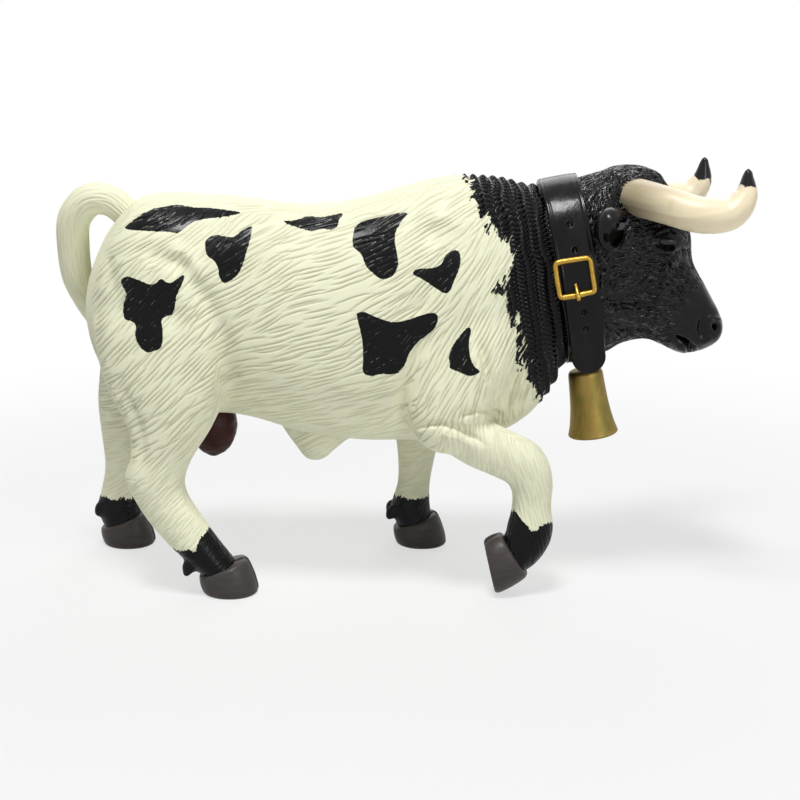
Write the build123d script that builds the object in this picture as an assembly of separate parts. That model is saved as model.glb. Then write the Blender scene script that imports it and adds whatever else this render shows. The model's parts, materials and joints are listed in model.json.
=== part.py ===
from build123d import *
import os
from math import cos, radians, sin

os.makedirs("parts", exist_ok=True)

# Walking bull figure. Millimetres, +X forward, +Y to the bull's left, +Z up.
# The origin is on the ground, under the middle of the figure's box.

# Overall sizes
FIGURE_LENGTH = 167.0
WITHERS_HEIGHT = 100.0
BARREL_WIDTH = 45.0
HOOF_STANCE = 36.0

# Body shell and its locating pins
SHELL_WALL = 3.0
LOCATING_PIN_DIAMETER = 3.2
LOCATING_PIN_LENGTH = 4.0
LOCATING_BOSS_DIAMETER = 7.0
PIN_CLEARANCE = 0.1

# Legs and hooves
LEG_DEPTH = 10.0
LEG_WIDTH = 10.0
HOOF_LENGTH = 13.8
HOOF_WIDTH = 12.6
HOOF_HEIGHT = 7.6
CLEFT_WIDTH = 0.9
DEWCLAW_DIAMETER = 3.6

# Neck joint, under the collar
NECK_HEIGHT = 43.2
NECK_WIDTH = 32.0
NECK_LEAN = 10.0
SPIGOT_DIAMETER = 20.0
SPIGOT_LENGTH = 5.0
SPIGOT_CLEARANCE = 0.15

# Head, horns, ears
HEAD_WIDTH = 26.0
HORN_DIAMETER = 8.8
HORN_SPREAD = 47.0
EAR_LENGTH = 11.5
EAR_THICKNESS = 4.6
EAR_HEIGHT = 9.0
EAR_SWEEP = 26.0
EAR_PEG_DIAMETER = 2.4
EAR_PEG_LENGTH = 2.6
PEG_DIAMETER = 4.0
PEG_LENGTH = 4.0
PEG_CLEARANCE = 0.1

# Tail and scrotum
TAIL_DIAMETER = 8.0
SAC_DEPTH = 12.0
SAC_WIDTH = 12.0
SAC_HEIGHT = 16.0
SHEATH_LENGTH = 24.0
SHEATH_WIDTH = 16.0

# Folds and hollows of the hide
FOLD_RADIUS = 3.0
FOLD_DEPTH = 1.3
HOLLOW_RADIUS = 9.0
HOLLOW_DEPTH = 1.1
CREASE_RADIUS = 1.5
CREASE_DEPTH = 0.9

# Collar
STRAP_WIDTH = 9.4
STRAP_THICKNESS = 1.3
STRAP_CLEARANCE = 0.15
TONGUE_WIDTH = 8.2
TONGUE_THICKNESS = 1.2
TONGUE_BITE = 0.15
STRAP_HOLE_DIAMETER = 1.2
BUCKLE_WIDTH = 9.8
BUCKLE_HEIGHT = 9.8
BUCKLE_BAR = 1.4
PRONG_DIAMETER = 1.0

# Bell
BELL_HEIGHT = 16.2
BELL_CROWN_DIAMETER = 8.8
BELL_MOUTH_DIAMETER = 12.6
BELL_WALL = 0.9
BELL_TILT = 9.0
BAIL_WIRE = 1.0
BAIL_WIDTH = 5.0
BAIL_CLEARANCE = 0.4
LOOP_WALL = 0.7
LOOP_LENGTH = 2.6
RUNNING_CLEARANCE = 0.06
CLAPPER_PIN_DIAMETER = 0.8
CLAPPER_EYE_DIAMETER = 2.0
CLAPPER_ROD_DIAMETER = 0.9
CLAPPER_BALL_DIAMETER = 3.0
CLAPPER_LENGTH = 7.6

HALF_STANCE = HOOF_STANCE / 2


# Moves every place along the length, so that the origin is under the middle of the box
CENTRING_SHARE = 0.0038


def at(x_share, z_share, y=0.0):
    """A place given as shares of the figure's length and of its height."""
    return Vector(FIGURE_LENGTH * (x_share + CENTRING_SHARE), y, WITHERS_HEIGHT * z_share)


def egg(plane, top, bottom, half_width, widest_share, fullness_share):
    """Closed section that is widest at a chosen share of its height."""
    middle = bottom + (top - bottom) * widest_share
    side = half_width * fullness_share
    upper = middle + (top - middle) * fullness_share
    lower = middle - (middle - bottom) * fullness_share
    outline = Spline(
        (0, top),
        (side, upper),
        (half_width, middle),
        (side, lower),
        (0, bottom),
        (-side, lower),
        (-half_width, middle),
        (-side, upper),
        periodic=True,
    )
    return plane * make_face(outline)


def across(origin, lean=0.0):
    """Section plane that faces along +X, tipped back by the lean."""
    turn = radians(lean)
    return Plane(origin=origin, x_dir=(0, 1, 0), z_dir=(cos(turn), 0, sin(turn)))


# Torso sections from the rump to the neck:
# place along the length, top, bottom, half width, height of the widest line, lean in degrees
TORSO_SHARES = [
    (-0.4580, 0.715, 0.630, 0.06, 0.50, 0.0),
    (-0.4420, 0.795, 0.555, 0.22, 0.50, 0.0),
    (-0.4130, 0.885, 0.475, 0.360, 0.52, 0.0),
    (-0.3700, 0.953, 0.435, 0.435, 0.52, 0.0),
    (-0.3100, 0.963, 0.420, 0.460, 0.52, 0.0),
    (-0.2250, 0.954, 0.412, 0.455, 0.48, 0.0),
    (-0.1450, 0.937, 0.375, 0.485, 0.44, 0.0),
    (-0.0600, 0.947, 0.352, 0.500, 0.42, 0.0),
    (0.0150, 0.981, 0.350, 0.490, 0.42, 0.0),
    (0.0750, 1.004, 0.352, 0.465, 0.42, 1.0),
    (0.1300, 1.003, 0.358, 0.430, 0.44, 3.0),
    (0.1780, 0.998, 0.405, 0.390, 0.46, 6.0),
    (0.2110, 0.985, 0.485, 0.370, 0.50, 9.0),
]
TORSO_FULLNESS_SHARE = 0.735
MIDDLE_SHARE = 0.5
ROUND_SHARE = 0.7071
CAVITY_FIRST = 3
CAVITY_LAST = 12

# Centre of the neck joint
NECK_JOINT_SHARES = (0.2590, 0.776)
neck_centre = at(*NECK_JOINT_SHARES)
neck_plane = across(neck_centre, NECK_LEAN)
seat_length = STRAP_WIDTH / 2 + STRAP_CLEARANCE


def torso_section(row, wall=0.0):
    x_share, top_share, bottom_share, width_share, widest_share, lean = row
    top = WITHERS_HEIGHT * top_share - wall
    bottom = WITHERS_HEIGHT * bottom_share + wall
    middle = (top + bottom) / 2
    plane = across((at(x_share, 0).X, 0, middle), lean)
    half_width = BARREL_WIDTH * width_share - wall
    return egg(plane, top - middle, bottom - middle, half_width, widest_share, TORSO_FULLNESS_SHARE)


def neck_section(offset, margin=0.0):
    """Section of the neck joint, or of a ring that much larger around it."""
    half_height = NECK_HEIGHT / 2 + margin
    half_width = NECK_WIDTH / 2 + margin
    plane = neck_plane.offset(offset)
    return egg(plane, half_height, -half_height, half_width, MIDDLE_SHARE, ROUND_SHARE)


def left_part(section):
    """The half of a section on the bull's left."""
    return split(section, bisect_by=Plane.XZ, keep=Keep.BOTTOM)


# The torso is lofted through the left halves of its sections and mirrored, so both sides are alike
neck_end = left_part(neck_section(-seat_length))
left_torso = loft([left_part(torso_section(row)) for row in TORSO_SHARES] + [neck_end])
left_torso += extrude(neck_end, seat_length)
torso = left_torso + mirror(left_torso, about=Plane.XZ)

# Sheath under the belly: place along the length, height, shares of its length and width
SHEATH_SHARES = [
    (-0.1056, 0.430, 0.500, 0.500),
    (-0.1086, 0.385, 0.458, 0.438),
    (-0.1152, 0.345, 0.317, 0.325),
    (-0.1200, 0.314, 0.192, 0.238),
    (-0.1218, 0.294, 0.121, 0.163),
    (-0.1224, 0.286, 0.054, 0.075),
]


def sheath_section(row):
    x_share, z_share, length_share, width_share = row
    outline = Ellipse(SHEATH_LENGTH * length_share, SHEATH_WIDTH * width_share)
    return Pos(at(x_share, z_share)) * outline


torso += loft([sheath_section(row) for row in SHEATH_SHARES])


def limb(rows, side, standing=False):
    """Loft of ellipses along a leg. Each row: place along the length, share of the half
    stance, height, half depth, half width, lean of the limb forward from straight down.
    The last height of a standing leg is a share of the hoof's height, so it ends in its hoof."""
    sections = []
    for row in rows:
        x_share, y_share, z_share, depth_share, width_share, lean = row
        centre = at(x_share, z_share, side * HALF_STANCE * y_share)
        if standing and row is rows[-1]:
            centre = Vector(centre.X, centre.Y, HOOF_HEIGHT * z_share)
        turn = radians(lean)
        plane = Plane(origin=centre, x_dir=(cos(turn), 0, sin(turn)), z_dir=(-sin(turn), 0, cos(turn)))
        sections.append(plane * Ellipse(LEG_DEPTH * depth_share, LEG_WIDTH * width_share))
    return loft(sections)


HOOF_SETBACK_SHARE = 0.13
CORONET_SHARE = 0.86
CLEFT_DEPTH_SHARE = 0.24
DEWCLAW_SPREAD_SHARE = 0.72


def hoof(sole_centre, lean=0.0):
    """Hoof from its sole up to the coronet, with the cleft cut into its front."""
    turn = radians(lean)
    plane = Plane(
        origin=sole_centre, x_dir=(cos(turn), 0, sin(turn)), z_dir=(-sin(turn), 0, cos(turn))
    )
    sole = Ellipse(HOOF_LENGTH / 2, HOOF_WIDTH / 2)
    crown = Ellipse(HOOF_LENGTH * CORONET_SHARE / 2, HOOF_WIDTH * CORONET_SHARE / 2)
    block = loft([sole, Pos(-HOOF_LENGTH * HOOF_SETBACK_SHARE, 0, HOOF_HEIGHT) * crown])
    depth = HOOF_LENGTH * CLEFT_DEPTH_SHARE
    cut = Pos(HOOF_LENGTH / 2, 0, HOOF_HEIGHT / 2) * Box(depth * 2, CLEFT_WIDTH, HOOF_HEIGHT * 2)
    return plane * (block - cut)


def dewclaws(x_share, z_share, side):
    """Pair of spurs behind a fetlock."""
    pair = []
    for step in (-1, 1):
        y = side * HALF_STANCE + step * DEWCLAW_DIAMETER * DEWCLAW_SPREAD_SHARE
        pair.append(Pos(at(x_share, z_share, y)) * Sphere(DEWCLAW_DIAMETER / 2))
    return pair


RIGHT_HIND_SHARES = [
    (-0.322, 0.36, 0.88, 1.10, 0.52, 0),
    (-0.328, 0.58, 0.76, 1.52, 0.80, 0),
    (-0.330, 0.665, 0.70, 1.63, 0.885, 0),
    (-0.331, 0.74, 0.64, 1.70, 0.95, 0),
    (-0.325, 0.86, 0.52, 1.52, 0.86, 0),
    (-0.318, 0.92, 0.42, 1.12, 0.72, 0),
    (-0.334, 0.95, 0.35, 0.80, 0.60, 0),
    (-0.349, 0.97, 0.295, 0.74, 0.56, 0),
    (-0.343, 0.98, 0.25, 0.68, 0.52, 0),
    (-0.320, 1.00, 0.185, 0.69, 0.50, 0),
    (-0.294, 1.00, 0.125, 0.64, 0.52, 0),
    (-0.273, 1.00, 0.085, 0.58, 0.53, 0),
    (-0.256, 1.00, 0.76, 0.54, 0.52, 0),
]
LEFT_HIND_SHARES = [
    (-0.335, 0.36, 0.88, 1.10, 0.52, 0),
    (-0.348, 0.58, 0.76, 1.45, 0.80, 0),
    (-0.362, 0.74, 0.64, 1.52, 0.93, 0),
    (-0.386, 0.84, 0.52, 1.28, 0.84, 0),
    (-0.418, 0.91, 0.42, 0.90, 0.66, 0),
    (-0.434, 0.94, 0.36, 0.64, 0.55, 0),
    (-0.438, 0.96, 0.295, 0.53, 0.49, 0),
    (-0.438, 0.98, 0.22, 0.50, 0.46, 0),
    (-0.444, 1.00, 0.155, 0.54, 0.48, 0),
    (-0.449, 1.00, 0.105, 0.57, 0.52, 0),
    (-0.444, 1.00, 0.86, 0.54, 0.52, 0),
]
LEFT_FORE_SHARES = [
    (0.100, 0.34, 0.80, 0.90, 0.50, 0),
    (0.088, 0.56, 0.68, 1.20, 0.76, 0),
    (0.079, 0.655, 0.625, 1.22, 0.805, 0),
    (0.070, 0.74, 0.57, 1.22, 0.84, 0),
    (0.052, 0.85, 0.46, 1.00, 0.72, 0),
    (0.036, 0.91, 0.35, 0.66, 0.57, 0),
    (0.034, 0.95, 0.26, 0.52, 0.49, 0),
    (0.030, 0.98, 0.18, 0.44, 0.43, 0),
    (0.025, 1.00, 0.125, 0.50, 0.48, 0),
    (0.025, 1.00, 0.098, 0.53, 0.51, 0),
    (0.032, 1.00, 0.84, 0.52, 0.51, 0),
]
RIGHT_ARM_SHARES = [
    (0.122, 0.36, 0.84, 1.00, 0.52, 0),
    (0.108, 0.60, 0.71, 1.40, 0.78, 0),
    (0.092, 0.78, 0.58, 1.36, 0.86, 0),
    (0.080, 0.90, 0.475, 1.12, 0.80, 0),
    (0.074, 0.96, 0.395, 0.78, 0.66, 0),
    (0.078, 0.98, 0.360, 0.42, 0.46, 0),
]
RIGHT_FOREARM_SHARES = [
    (0.082, 0.95, 0.405, 0.48, 0.54, 66),
    (0.114, 0.98, 0.384, 0.60, 0.60, 66),
    (0.152, 1.00, 0.356, 0.60, 0.56, 64),
    (0.186, 1.00, 0.326, 0.60, 0.54, 48),
    (0.199, 1.00, 0.276, 0.52, 0.49, 12),
    (0.199, 1.00, 0.222, 0.48, 0.46, 0),
    (0.198, 1.00, 0.166, 0.57, 0.52, -12),
    (0.186, 1.00, 0.118, 0.54, 0.53, -45),
    (0.170, 1.00, 0.090, 0.50, 0.50, -64),
]

def tube(points, radii, guide):
    """Loft of circles along a smooth path through the points. The guide is a direction
    that the path never takes: it keeps the circles from twisting."""
    path = Spline(*points)
    sections = []
    for point, radius in zip(points, radii):
        share = path.param_at_point(point)
        plane = Plane(origin=point, x_dir=guide, z_dir=path % share)
        sections.append(plane * Circle(radius))
    return loft(sections)


# Folds and hollows: lines of places along the length and heights on the side of the body
FLANK_FOLD_SHARES = [(-0.286, 0.783), (-0.262, 0.719), (-0.242, 0.641), (-0.235, 0.559), (-0.237, 0.470)]
SHOULDER_FOLD_SHARES = [(0.052, 0.680), (0.040, 0.640), (0.026, 0.583), (0.0125, 0.503), (0.005, 0.420)]
CHEST_FOLD_SHARES = [(0.116, 0.652), (0.123, 0.615), (0.132, 0.565), (0.141, 0.515), (0.149, 0.462)]
SHOULDER_HOLLOW_SHARES = [(0.088, 0.850), (0.070, 0.800), (0.046, 0.736), (0.021, 0.689), (-0.004, 0.655)]
HIP_HOLLOW_SHARES = [(-0.368, 0.846), (-0.345, 0.840), (-0.317, 0.834), (-0.296, 0.816), (-0.276, 0.792)]
RIGHT_FOLDS = [
    (FLANK_FOLD_SHARES, FOLD_RADIUS, FOLD_DEPTH),
    (SHOULDER_FOLD_SHARES, FOLD_RADIUS, FOLD_DEPTH),
    (CHEST_FOLD_SHARES, CREASE_RADIUS, CREASE_DEPTH),
    (SHOULDER_HOLLOW_SHARES, HOLLOW_RADIUS, HOLLOW_DEPTH),
    (HIP_HOLLOW_SHARES, HOLLOW_RADIUS, HOLLOW_DEPTH),
]
LEFT_FOLDS = [
    (FLANK_FOLD_SHARES, FOLD_RADIUS, FOLD_DEPTH),
    (SHOULDER_HOLLOW_SHARES, HOLLOW_RADIUS, HOLLOW_DEPTH),
]


def fold_cutter(body, side, line_shares, radius, depth):
    """Rod along a line on one side of the body. It dips below the surface and rises off it at both ends."""
    points = []
    for share in line_shares:
        spot = at(*share)
        hits = body.find_intersection_points(Axis(spot, (0, side, 0)))
        surface = max(side * point.Y for point, normal in hits)
        at_end = share in (line_shares[0], line_shares[-1])
        lift = radius if at_end else radius - depth
        points.append(Vector(spot.X, side * (surface + lift), spot.Z))
    return tube(points, [radius] * len(points), (0, 1, 0))


RIGHT_HIND_SOLE_SHARE = -0.242
LEFT_HIND_SOLE_SHARE = -0.433
LEFT_FORE_SOLE_SHARE = 0.043
RIGHT_FORE_SOLE_SHARES = (0.139, 0.063)
RIGHT_FORE_HOOF_LEAN = -77.0
RIGHT_HIND_SPUR_SHARES = (-0.303, 0.068)
LEFT_HIND_SPUR_SHARES = (-0.480, 0.100)
LEFT_FORE_SPUR_SHARES = (-0.005, 0.090)

right_hind = limb(RIGHT_HIND_SHARES, -1, True) + hoof(at(RIGHT_HIND_SOLE_SHARE, 0, -HALF_STANCE))
right_hind += dewclaws(*RIGHT_HIND_SPUR_SHARES, -1)
left_hind = limb(LEFT_HIND_SHARES, 1, True) + hoof(at(LEFT_HIND_SOLE_SHARE, 0, HALF_STANCE))
left_hind += dewclaws(*LEFT_HIND_SPUR_SHARES, 1)
left_fore = limb(LEFT_FORE_SHARES, 1, True) + hoof(at(LEFT_FORE_SOLE_SHARE, 0, HALF_STANCE))
left_fore += dewclaws(*LEFT_FORE_SPUR_SHARES, 1)
right_fore = limb(RIGHT_ARM_SHARES, -1) + limb(RIGHT_FOREARM_SHARES, -1)
right_fore += hoof(at(*RIGHT_FORE_SOLE_SHARES, -HALF_STANCE), RIGHT_FORE_HOOF_LEAN)
under_ground = (Align.CENTER, Align.CENTER, Align.MAX)
ground = Box(FIGURE_LENGTH * 2, HOOF_STANCE * 2, WITHERS_HEIGHT, align=under_ground)
right_fore -= ground

# Two body halves, joined at the middle plane
left_of_middle = (Align.CENTER, Align.MIN, Align.MIN)
half_box = Box(FIGURE_LENGTH * 2, BARREL_WIDTH, WITHERS_HEIGHT * 2, align=left_of_middle)
right_box = Rot(0, 0, 180) * half_box
cavity_rows = [torso_section(row, SHELL_WALL) for row in TORSO_SHARES[CAVITY_FIRST:CAVITY_LAST]]
cavity = loft(cavity_rows)
socket_radius = SPIGOT_DIAMETER / 2 + SPIGOT_CLEARANCE
socket_depth = SPIGOT_LENGTH + STRAP_WIDTH * 2
spigot_socket = neck_plane * Cylinder(
    socket_radius, socket_depth, align=(Align.CENTER, Align.CENTER, Align.MAX)
)
cavity += spigot_socket
right_half = (torso & right_box) + right_hind + right_fore
for fold in RIGHT_FOLDS:
    right_half -= fold_cutter(right_half, -1, *fold)
right_half -= cavity
left_half = (torso & half_box) + left_hind + left_fore
for fold in LEFT_FOLDS:
    left_half -= fold_cutter(left_half, 1, *fold)
left_half -= cavity

LOCATING_SHARES = [(-0.33, 0.68), (-0.10, 0.62), (0.05, 0.68), (0.13, 0.80)]


def y_rod(centre, diameter, length, start=0.0):
    """Cylinder along +Y from a start value."""
    rod = Cylinder(diameter / 2, length, align=(Align.CENTER, Align.CENTER, Align.MIN))
    place = Vector(centre.X, start, centre.Z)
    return Plane(origin=place, x_dir=(1, 0, 0), z_dir=(0, 1, 0)) * rod


for shares in LOCATING_SHARES:
    spot = at(*shares)
    reach = BARREL_WIDTH / 2
    left_half += y_rod(spot, LOCATING_BOSS_DIAMETER, reach) & torso
    right_half += y_rod(spot, LOCATING_BOSS_DIAMETER, reach, -reach) & torso
for shares in LOCATING_SHARES:
    spot = at(*shares)
    hole_depth = LOCATING_PIN_LENGTH + PIN_CLEARANCE
    right_half -= y_rod(spot, LOCATING_PIN_DIAMETER + PIN_CLEARANCE * 2, hole_depth, -hole_depth)
    pin_length = LOCATING_PIN_LENGTH * 2
    left_half += y_rod(spot, LOCATING_PIN_DIAMETER, pin_length, -LOCATING_PIN_LENGTH)

# Head: a loft from the neck joint to the muzzle
# place along the length, top, bottom, half width, height of the widest line, lean in degrees
HEAD_SHARES = [
    (0.3200, 1.018, 0.592, 0.570, 0.56, 6.0),
    (0.3480, 1.030, 0.602, 0.525, 0.60, 3.0),
    (0.3760, 1.016, 0.604, 0.500, 0.64, 0.0),
    (0.4010, 0.968, 0.586, 0.470, 0.68, 0.0),
    (0.4230, 0.902, 0.567, 0.400, 0.66, 0.0),
    (0.4440, 0.828, 0.566, 0.325, 0.56, 0.0),
    (0.4620, 0.735, 0.578, 0.295, 0.50, 0.0),
    (0.4770, 0.680, 0.594, 0.260, 0.50, 0.0),
    (0.4850, 0.655, 0.614, 0.170, 0.50, 0.0),
]
HEAD_FULLNESS_SHARE = 0.745


def head_section(row):
    x_share, top_share, bottom_share, width_share, widest_share, lean = row
    top = WITHERS_HEIGHT * top_share
    bottom = WITHERS_HEIGHT * bottom_share
    middle = (top + bottom) / 2
    plane = across((at(x_share, 0).X, 0, middle), lean)
    half_width = HEAD_WIDTH * width_share
    return egg(plane, top - middle, bottom - middle, half_width, widest_share, HEAD_FULLNESS_SHARE)


head_block = loft([neck_section(seat_length)] + [head_section(row) for row in HEAD_SHARES])
head_block += extrude(neck_section(0), seat_length)
spigot = Cylinder(SPIGOT_DIAMETER / 2, SPIGOT_LENGTH, align=(Align.CENTER, Align.CENTER, Align.MAX))
head = head_block + neck_plane * spigot


def peg(tip, end, diameter):
    """Cylinder from one point to another."""
    axis = end - tip
    rod = Cylinder(diameter / 2, axis.length, align=(Align.CENTER, Align.CENTER, Align.MIN))
    return Plane(origin=tip, z_dir=axis) * rod


# Horns: place along the length, share of the half spread, height, share of the diameter
HORN_SHARES = [
    (0.331, 0.18, 0.962, 0.500),
    (0.345, 0.48, 0.960, 0.500),
    (0.376, 0.76, 0.949, 0.495),
    (0.417, 0.95, 0.931, 0.470),
    (0.456, 1.00, 0.934, 0.410),
    (0.4765, 0.99, 0.972, 0.290),
    (0.4795, 0.96, 1.034, 0.080),
]
HORN_PEG_SHARES = (0.340, 0.36, 0.9605)


def make_horn():
    """Left horn with its peg, and the hole for the peg in the head."""
    half_spread = HORN_SPREAD / 2
    points = [at(x, z, half_spread * y) for x, y, z, r in HORN_SHARES]
    radii = [HORN_DIAMETER * r for x, y, z, r in HORN_SHARES]
    horn = tube(points, radii, (-1, 0, 1)) - head_block
    x, y, z = HORN_PEG_SHARES
    outer = at(x, z, half_spread * y)
    direction = (points[0] - points[1]).normalized()
    tip = outer + direction * PEG_LENGTH
    plug = peg(tip, points[1], PEG_DIAMETER)
    deep = outer + direction * (PEG_LENGTH + PEG_CLEARANCE)
    hole = peg(deep, points[1], PEG_DIAMETER + PEG_CLEARANCE * 2)
    return max(horn.solids(), key=lambda solid: solid.volume) + plug, hole


# Ears: share of the ear's length from the head, drop, half height, half thickness
EAR_ROOT_SHARES = (0.321, 0.480, 0.902)
EAR_SHARES = [
    (0.00, 0.00, 0.26, 0.40),
    (0.36, 0.02, 0.42, 0.50),
    (0.68, 0.10, 0.50, 0.44),
    (0.90, 0.22, 0.36, 0.32),
    (1.00, 0.30, 0.14, 0.16),
]


def make_ear(side):
    x, y, z = EAR_ROOT_SHARES
    root = at(x, z, side * HEAD_WIDTH * y)
    turn = radians(EAR_SWEEP)
    out = Vector(-sin(turn), side * cos(turn), 0)
    sections = []
    for along_share, drop_share, height_share, thickness_share in EAR_SHARES:
        drop = Vector(0, 0, -EAR_HEIGHT * drop_share)
        centre = root + out * (EAR_LENGTH * along_share) + drop
        plane = Plane(origin=centre, x_dir=(0, 0, 1), z_dir=out)
        sections.append(plane * Ellipse(EAR_HEIGHT * height_share, EAR_THICKNESS * thickness_share))
    ear = loft(sections) - head_block
    ear_solid = max(ear.solids(), key=lambda solid: solid.volume)
    plug = peg(root - out * EAR_PEG_LENGTH, root + out * EAR_PEG_LENGTH, EAR_PEG_DIAMETER)
    deep = EAR_PEG_LENGTH + PEG_CLEARANCE
    hole = peg(root - out * deep, root + out * deep, EAR_PEG_DIAMETER + PEG_CLEARANCE * 2)
    return ear_solid + plug, hole


left_horn, left_horn_hole = make_horn()
right_horn = mirror(left_horn, about=Plane.XZ)
right_horn_hole = mirror(left_horn_hole, about=Plane.XZ)
right_ear, right_ear_hole = make_ear(-1)
left_ear, left_ear_hole = make_ear(1)
head = head - right_horn_hole - left_horn_hole - right_ear_hole - left_ear_hole

# Tail: place along the length, share of the half stance, height, share of the diameter
TAIL_SHARES = [
    (-0.3880, 0.00, 0.905, 0.44),
    (-0.4170, 0.00, 0.944, 0.48),
    (-0.4480, 0.02, 0.944, 0.50),
    (-0.4730, 0.09, 0.898, 0.50),
    (-0.4790, 0.18, 0.830, 0.50),
    (-0.4780, 0.27, 0.755, 0.48),
    (-0.4700, 0.39, 0.700, 0.45),
    (-0.4600, 0.60, 0.645, 0.42),
    (-0.4440, 0.90, 0.590, 0.40),
    (-0.4260, 1.16, 0.530, 0.43),
    (-0.4120, 1.30, 0.465, 0.45),
    (-0.4020, 1.35, 0.405, 0.30),
    (-0.3960, 1.36, 0.365, 0.09),
]
tail_points = [at(x, z, HALF_STANCE * y) for x, y, z, r in TAIL_SHARES]
tail_radii = [TAIL_DIAMETER * r for x, y, z, r in TAIL_SHARES]
tail_loft = tube(tail_points, tail_radii, (0, 1, 0)) - torso - left_hind
tail = max(tail_loft.solids(), key=lambda solid: solid.volume)
tail_axis = (tail_points[0] - tail_points[1]).normalized()
tail_peg_end = tail_points[0] + tail_axis * PEG_LENGTH
tail += peg(tail_peg_end, tail_points[1], PEG_DIAMETER)
tail_hole_end = tail_points[0] + tail_axis * (PEG_LENGTH + PEG_CLEARANCE)
tail_hole = peg(tail_hole_end, tail_points[1], PEG_DIAMETER + PEG_CLEARANCE * 2)

# Scrotum, pegged up between the halves
SAC_PLACE_SHARES = (-0.276, 0.378)
sac_centre = at(*SAC_PLACE_SHARES)
sac = Pos(sac_centre) * scale(Sphere(1), by=(SAC_DEPTH / 2, SAC_WIDTH / 2, SAC_HEIGHT / 2))
sac_cut = sac - torso
scrotum = max(sac_cut.solids(), key=lambda solid: solid.volume)
sac_top = sac_centre + Vector(0, 0, SAC_HEIGHT / 2)
scrotum += peg(sac_centre, sac_top, PEG_DIAMETER)
sac_hole = peg(sac_centre, sac_top + Vector(0, 0, PEG_CLEARANCE), PEG_DIAMETER + PEG_CLEARANCE * 2)

right_half = right_half - tail_hole - sac_hole
left_half = left_half - tail_hole - sac_hole

# Collar band, around the neck joint
band_outer = STRAP_CLEARANCE + STRAP_THICKNESS
band = extrude(neck_section(-STRAP_WIDTH / 2, band_outer), STRAP_WIDTH)
band -= extrude(neck_section(-STRAP_WIDTH / 2, STRAP_CLEARANCE), STRAP_WIDTH)

# Free tongue of the collar, down the right side: share of the band's half width and half height
TONGUE_SHARES = [
    (0.974, 0.20),
    (1.000, 0.00),
    (0.968, -0.25),
    (0.900, -0.46),
    (0.775, -0.74),
    (0.655, -1.03),
]
half_across = NECK_WIDTH / 2 + band_outer
half_up = NECK_HEIGHT / 2 + band_outer
inner_side = [(-half_across * x + TONGUE_BITE, half_up * y) for x, y in TONGUE_SHARES]
outer_side = [(-half_across * x - TONGUE_THICKNESS, half_up * y) for x, y in TONGUE_SHARES]
tongue_inner = Spline(*inner_side)
tongue_outer = Spline(*outer_side)
tongue_top = Line(inner_side[0], outer_side[0])
tongue_end = Line(inner_side[-1], outer_side[-1])
tongue_face = make_face([tongue_inner, tongue_end, tongue_outer, tongue_top])
tongue = neck_plane.offset(-TONGUE_WIDTH / 2) * extrude(tongue_face, TONGUE_WIDTH)
tip_up = half_up * TONGUE_SHARES[-1][1] + TONGUE_WIDTH / 2
side_plane = Plane(origin=neck_centre, x_dir=neck_plane.z_dir, z_dir=(0, -1, 0))
tip_outline = Pos(0, tip_up) * Circle(TONGUE_WIDTH / 2)
tip_outline += Pos(0, tip_up + NECK_HEIGHT / 2) * Rectangle(TONGUE_WIDTH, NECK_HEIGHT)
tongue &= side_plane * extrude(tip_outline, NECK_WIDTH)
collar = band + tongue
STRAP_HOLE_SHARES = [0.56, 0.30, -0.34, -0.52]
for up_share in STRAP_HOLE_SHARES:
    spot = Pos(0, half_up * up_share, 0)
    collar -= side_plane * spot * Cylinder(
        STRAP_HOLE_DIAMETER / 2, NECK_WIDTH, align=(Align.CENTER, Align.CENTER, Align.MIN)
    )

# Buckle frame and prong, on the right side of the band
BUCKLE_SETBACK_SHARE = 0.12
BUCKLE_RAISE_SHARE = 0.02
buckle_face_plane = side_plane.offset(half_across)
buckle_spot = Pos(-STRAP_WIDTH * BUCKLE_SETBACK_SHARE, NECK_HEIGHT * BUCKLE_RAISE_SHARE)
frame_outline = RectangleRounded(BUCKLE_WIDTH, BUCKLE_HEIGHT, BUCKLE_BAR)
frame_outline -= RectangleRounded(
    BUCKLE_WIDTH - BUCKLE_BAR * 2, BUCKLE_HEIGHT - BUCKLE_BAR * 2, BUCKLE_BAR / 2
)
frame_depth = TONGUE_THICKNESS + BUCKLE_BAR
frame = buckle_face_plane * (buckle_spot * extrude(frame_outline, frame_depth))
frame -= collar
frame = max(frame.solids(), key=lambda solid: solid.volume)
PRONG_ROOT_SHARE = 0.06
PRONG_TIP_SHARE = -0.56
prong_spot = Pos(0, BUCKLE_HEIGHT * PRONG_ROOT_SHARE, TONGUE_THICKNESS)
prong_start = (buckle_face_plane * buckle_spot * prong_spot).position
tip_spot = Pos(0, BUCKLE_HEIGHT * PRONG_TIP_SHARE, frame_depth + PRONG_DIAMETER / 2)
prong_end = (buckle_face_plane * buckle_spot * tip_spot).position
prong = peg(prong_start, prong_end, PRONG_DIAMETER) - collar - frame
prong = max(prong.solids(), key=lambda solid: solid.volume)

# Hanger loop under the band: its bore is the hinge of the bell
bore_radius = BAIL_WIRE / 2 + RUNNING_CLEARANCE
loop_radius = bore_radius + LOOP_WALL
hinge = neck_centre - neck_plane.y_dir * (half_up + loop_radius)
tilt = radians(BELL_TILT)
bell_up = Vector(-sin(tilt), 0, cos(tilt))
bell_plane = Plane(origin=hinge, x_dir=(0, 1, 0), z_dir=bell_up)
along_y = Rot(0, 90, 0)
web = Box(LOOP_LENGTH, loop_radius * 2, half_up, align=(Align.CENTER, Align.CENTER, Align.MIN))
hanger = along_y * Cylinder(loop_radius, LOOP_LENGTH) + web
hanger -= along_y * Cylinder(bore_radius, LOOP_LENGTH * 2)
neck_core = extrude(neck_section(-STRAP_WIDTH, STRAP_CLEARANCE), STRAP_WIDTH * 2)
hanger = Plane(origin=hinge, x_dir=(0, 1, 0), z_dir=neck_plane.y_dir) * hanger - collar - neck_core
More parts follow.
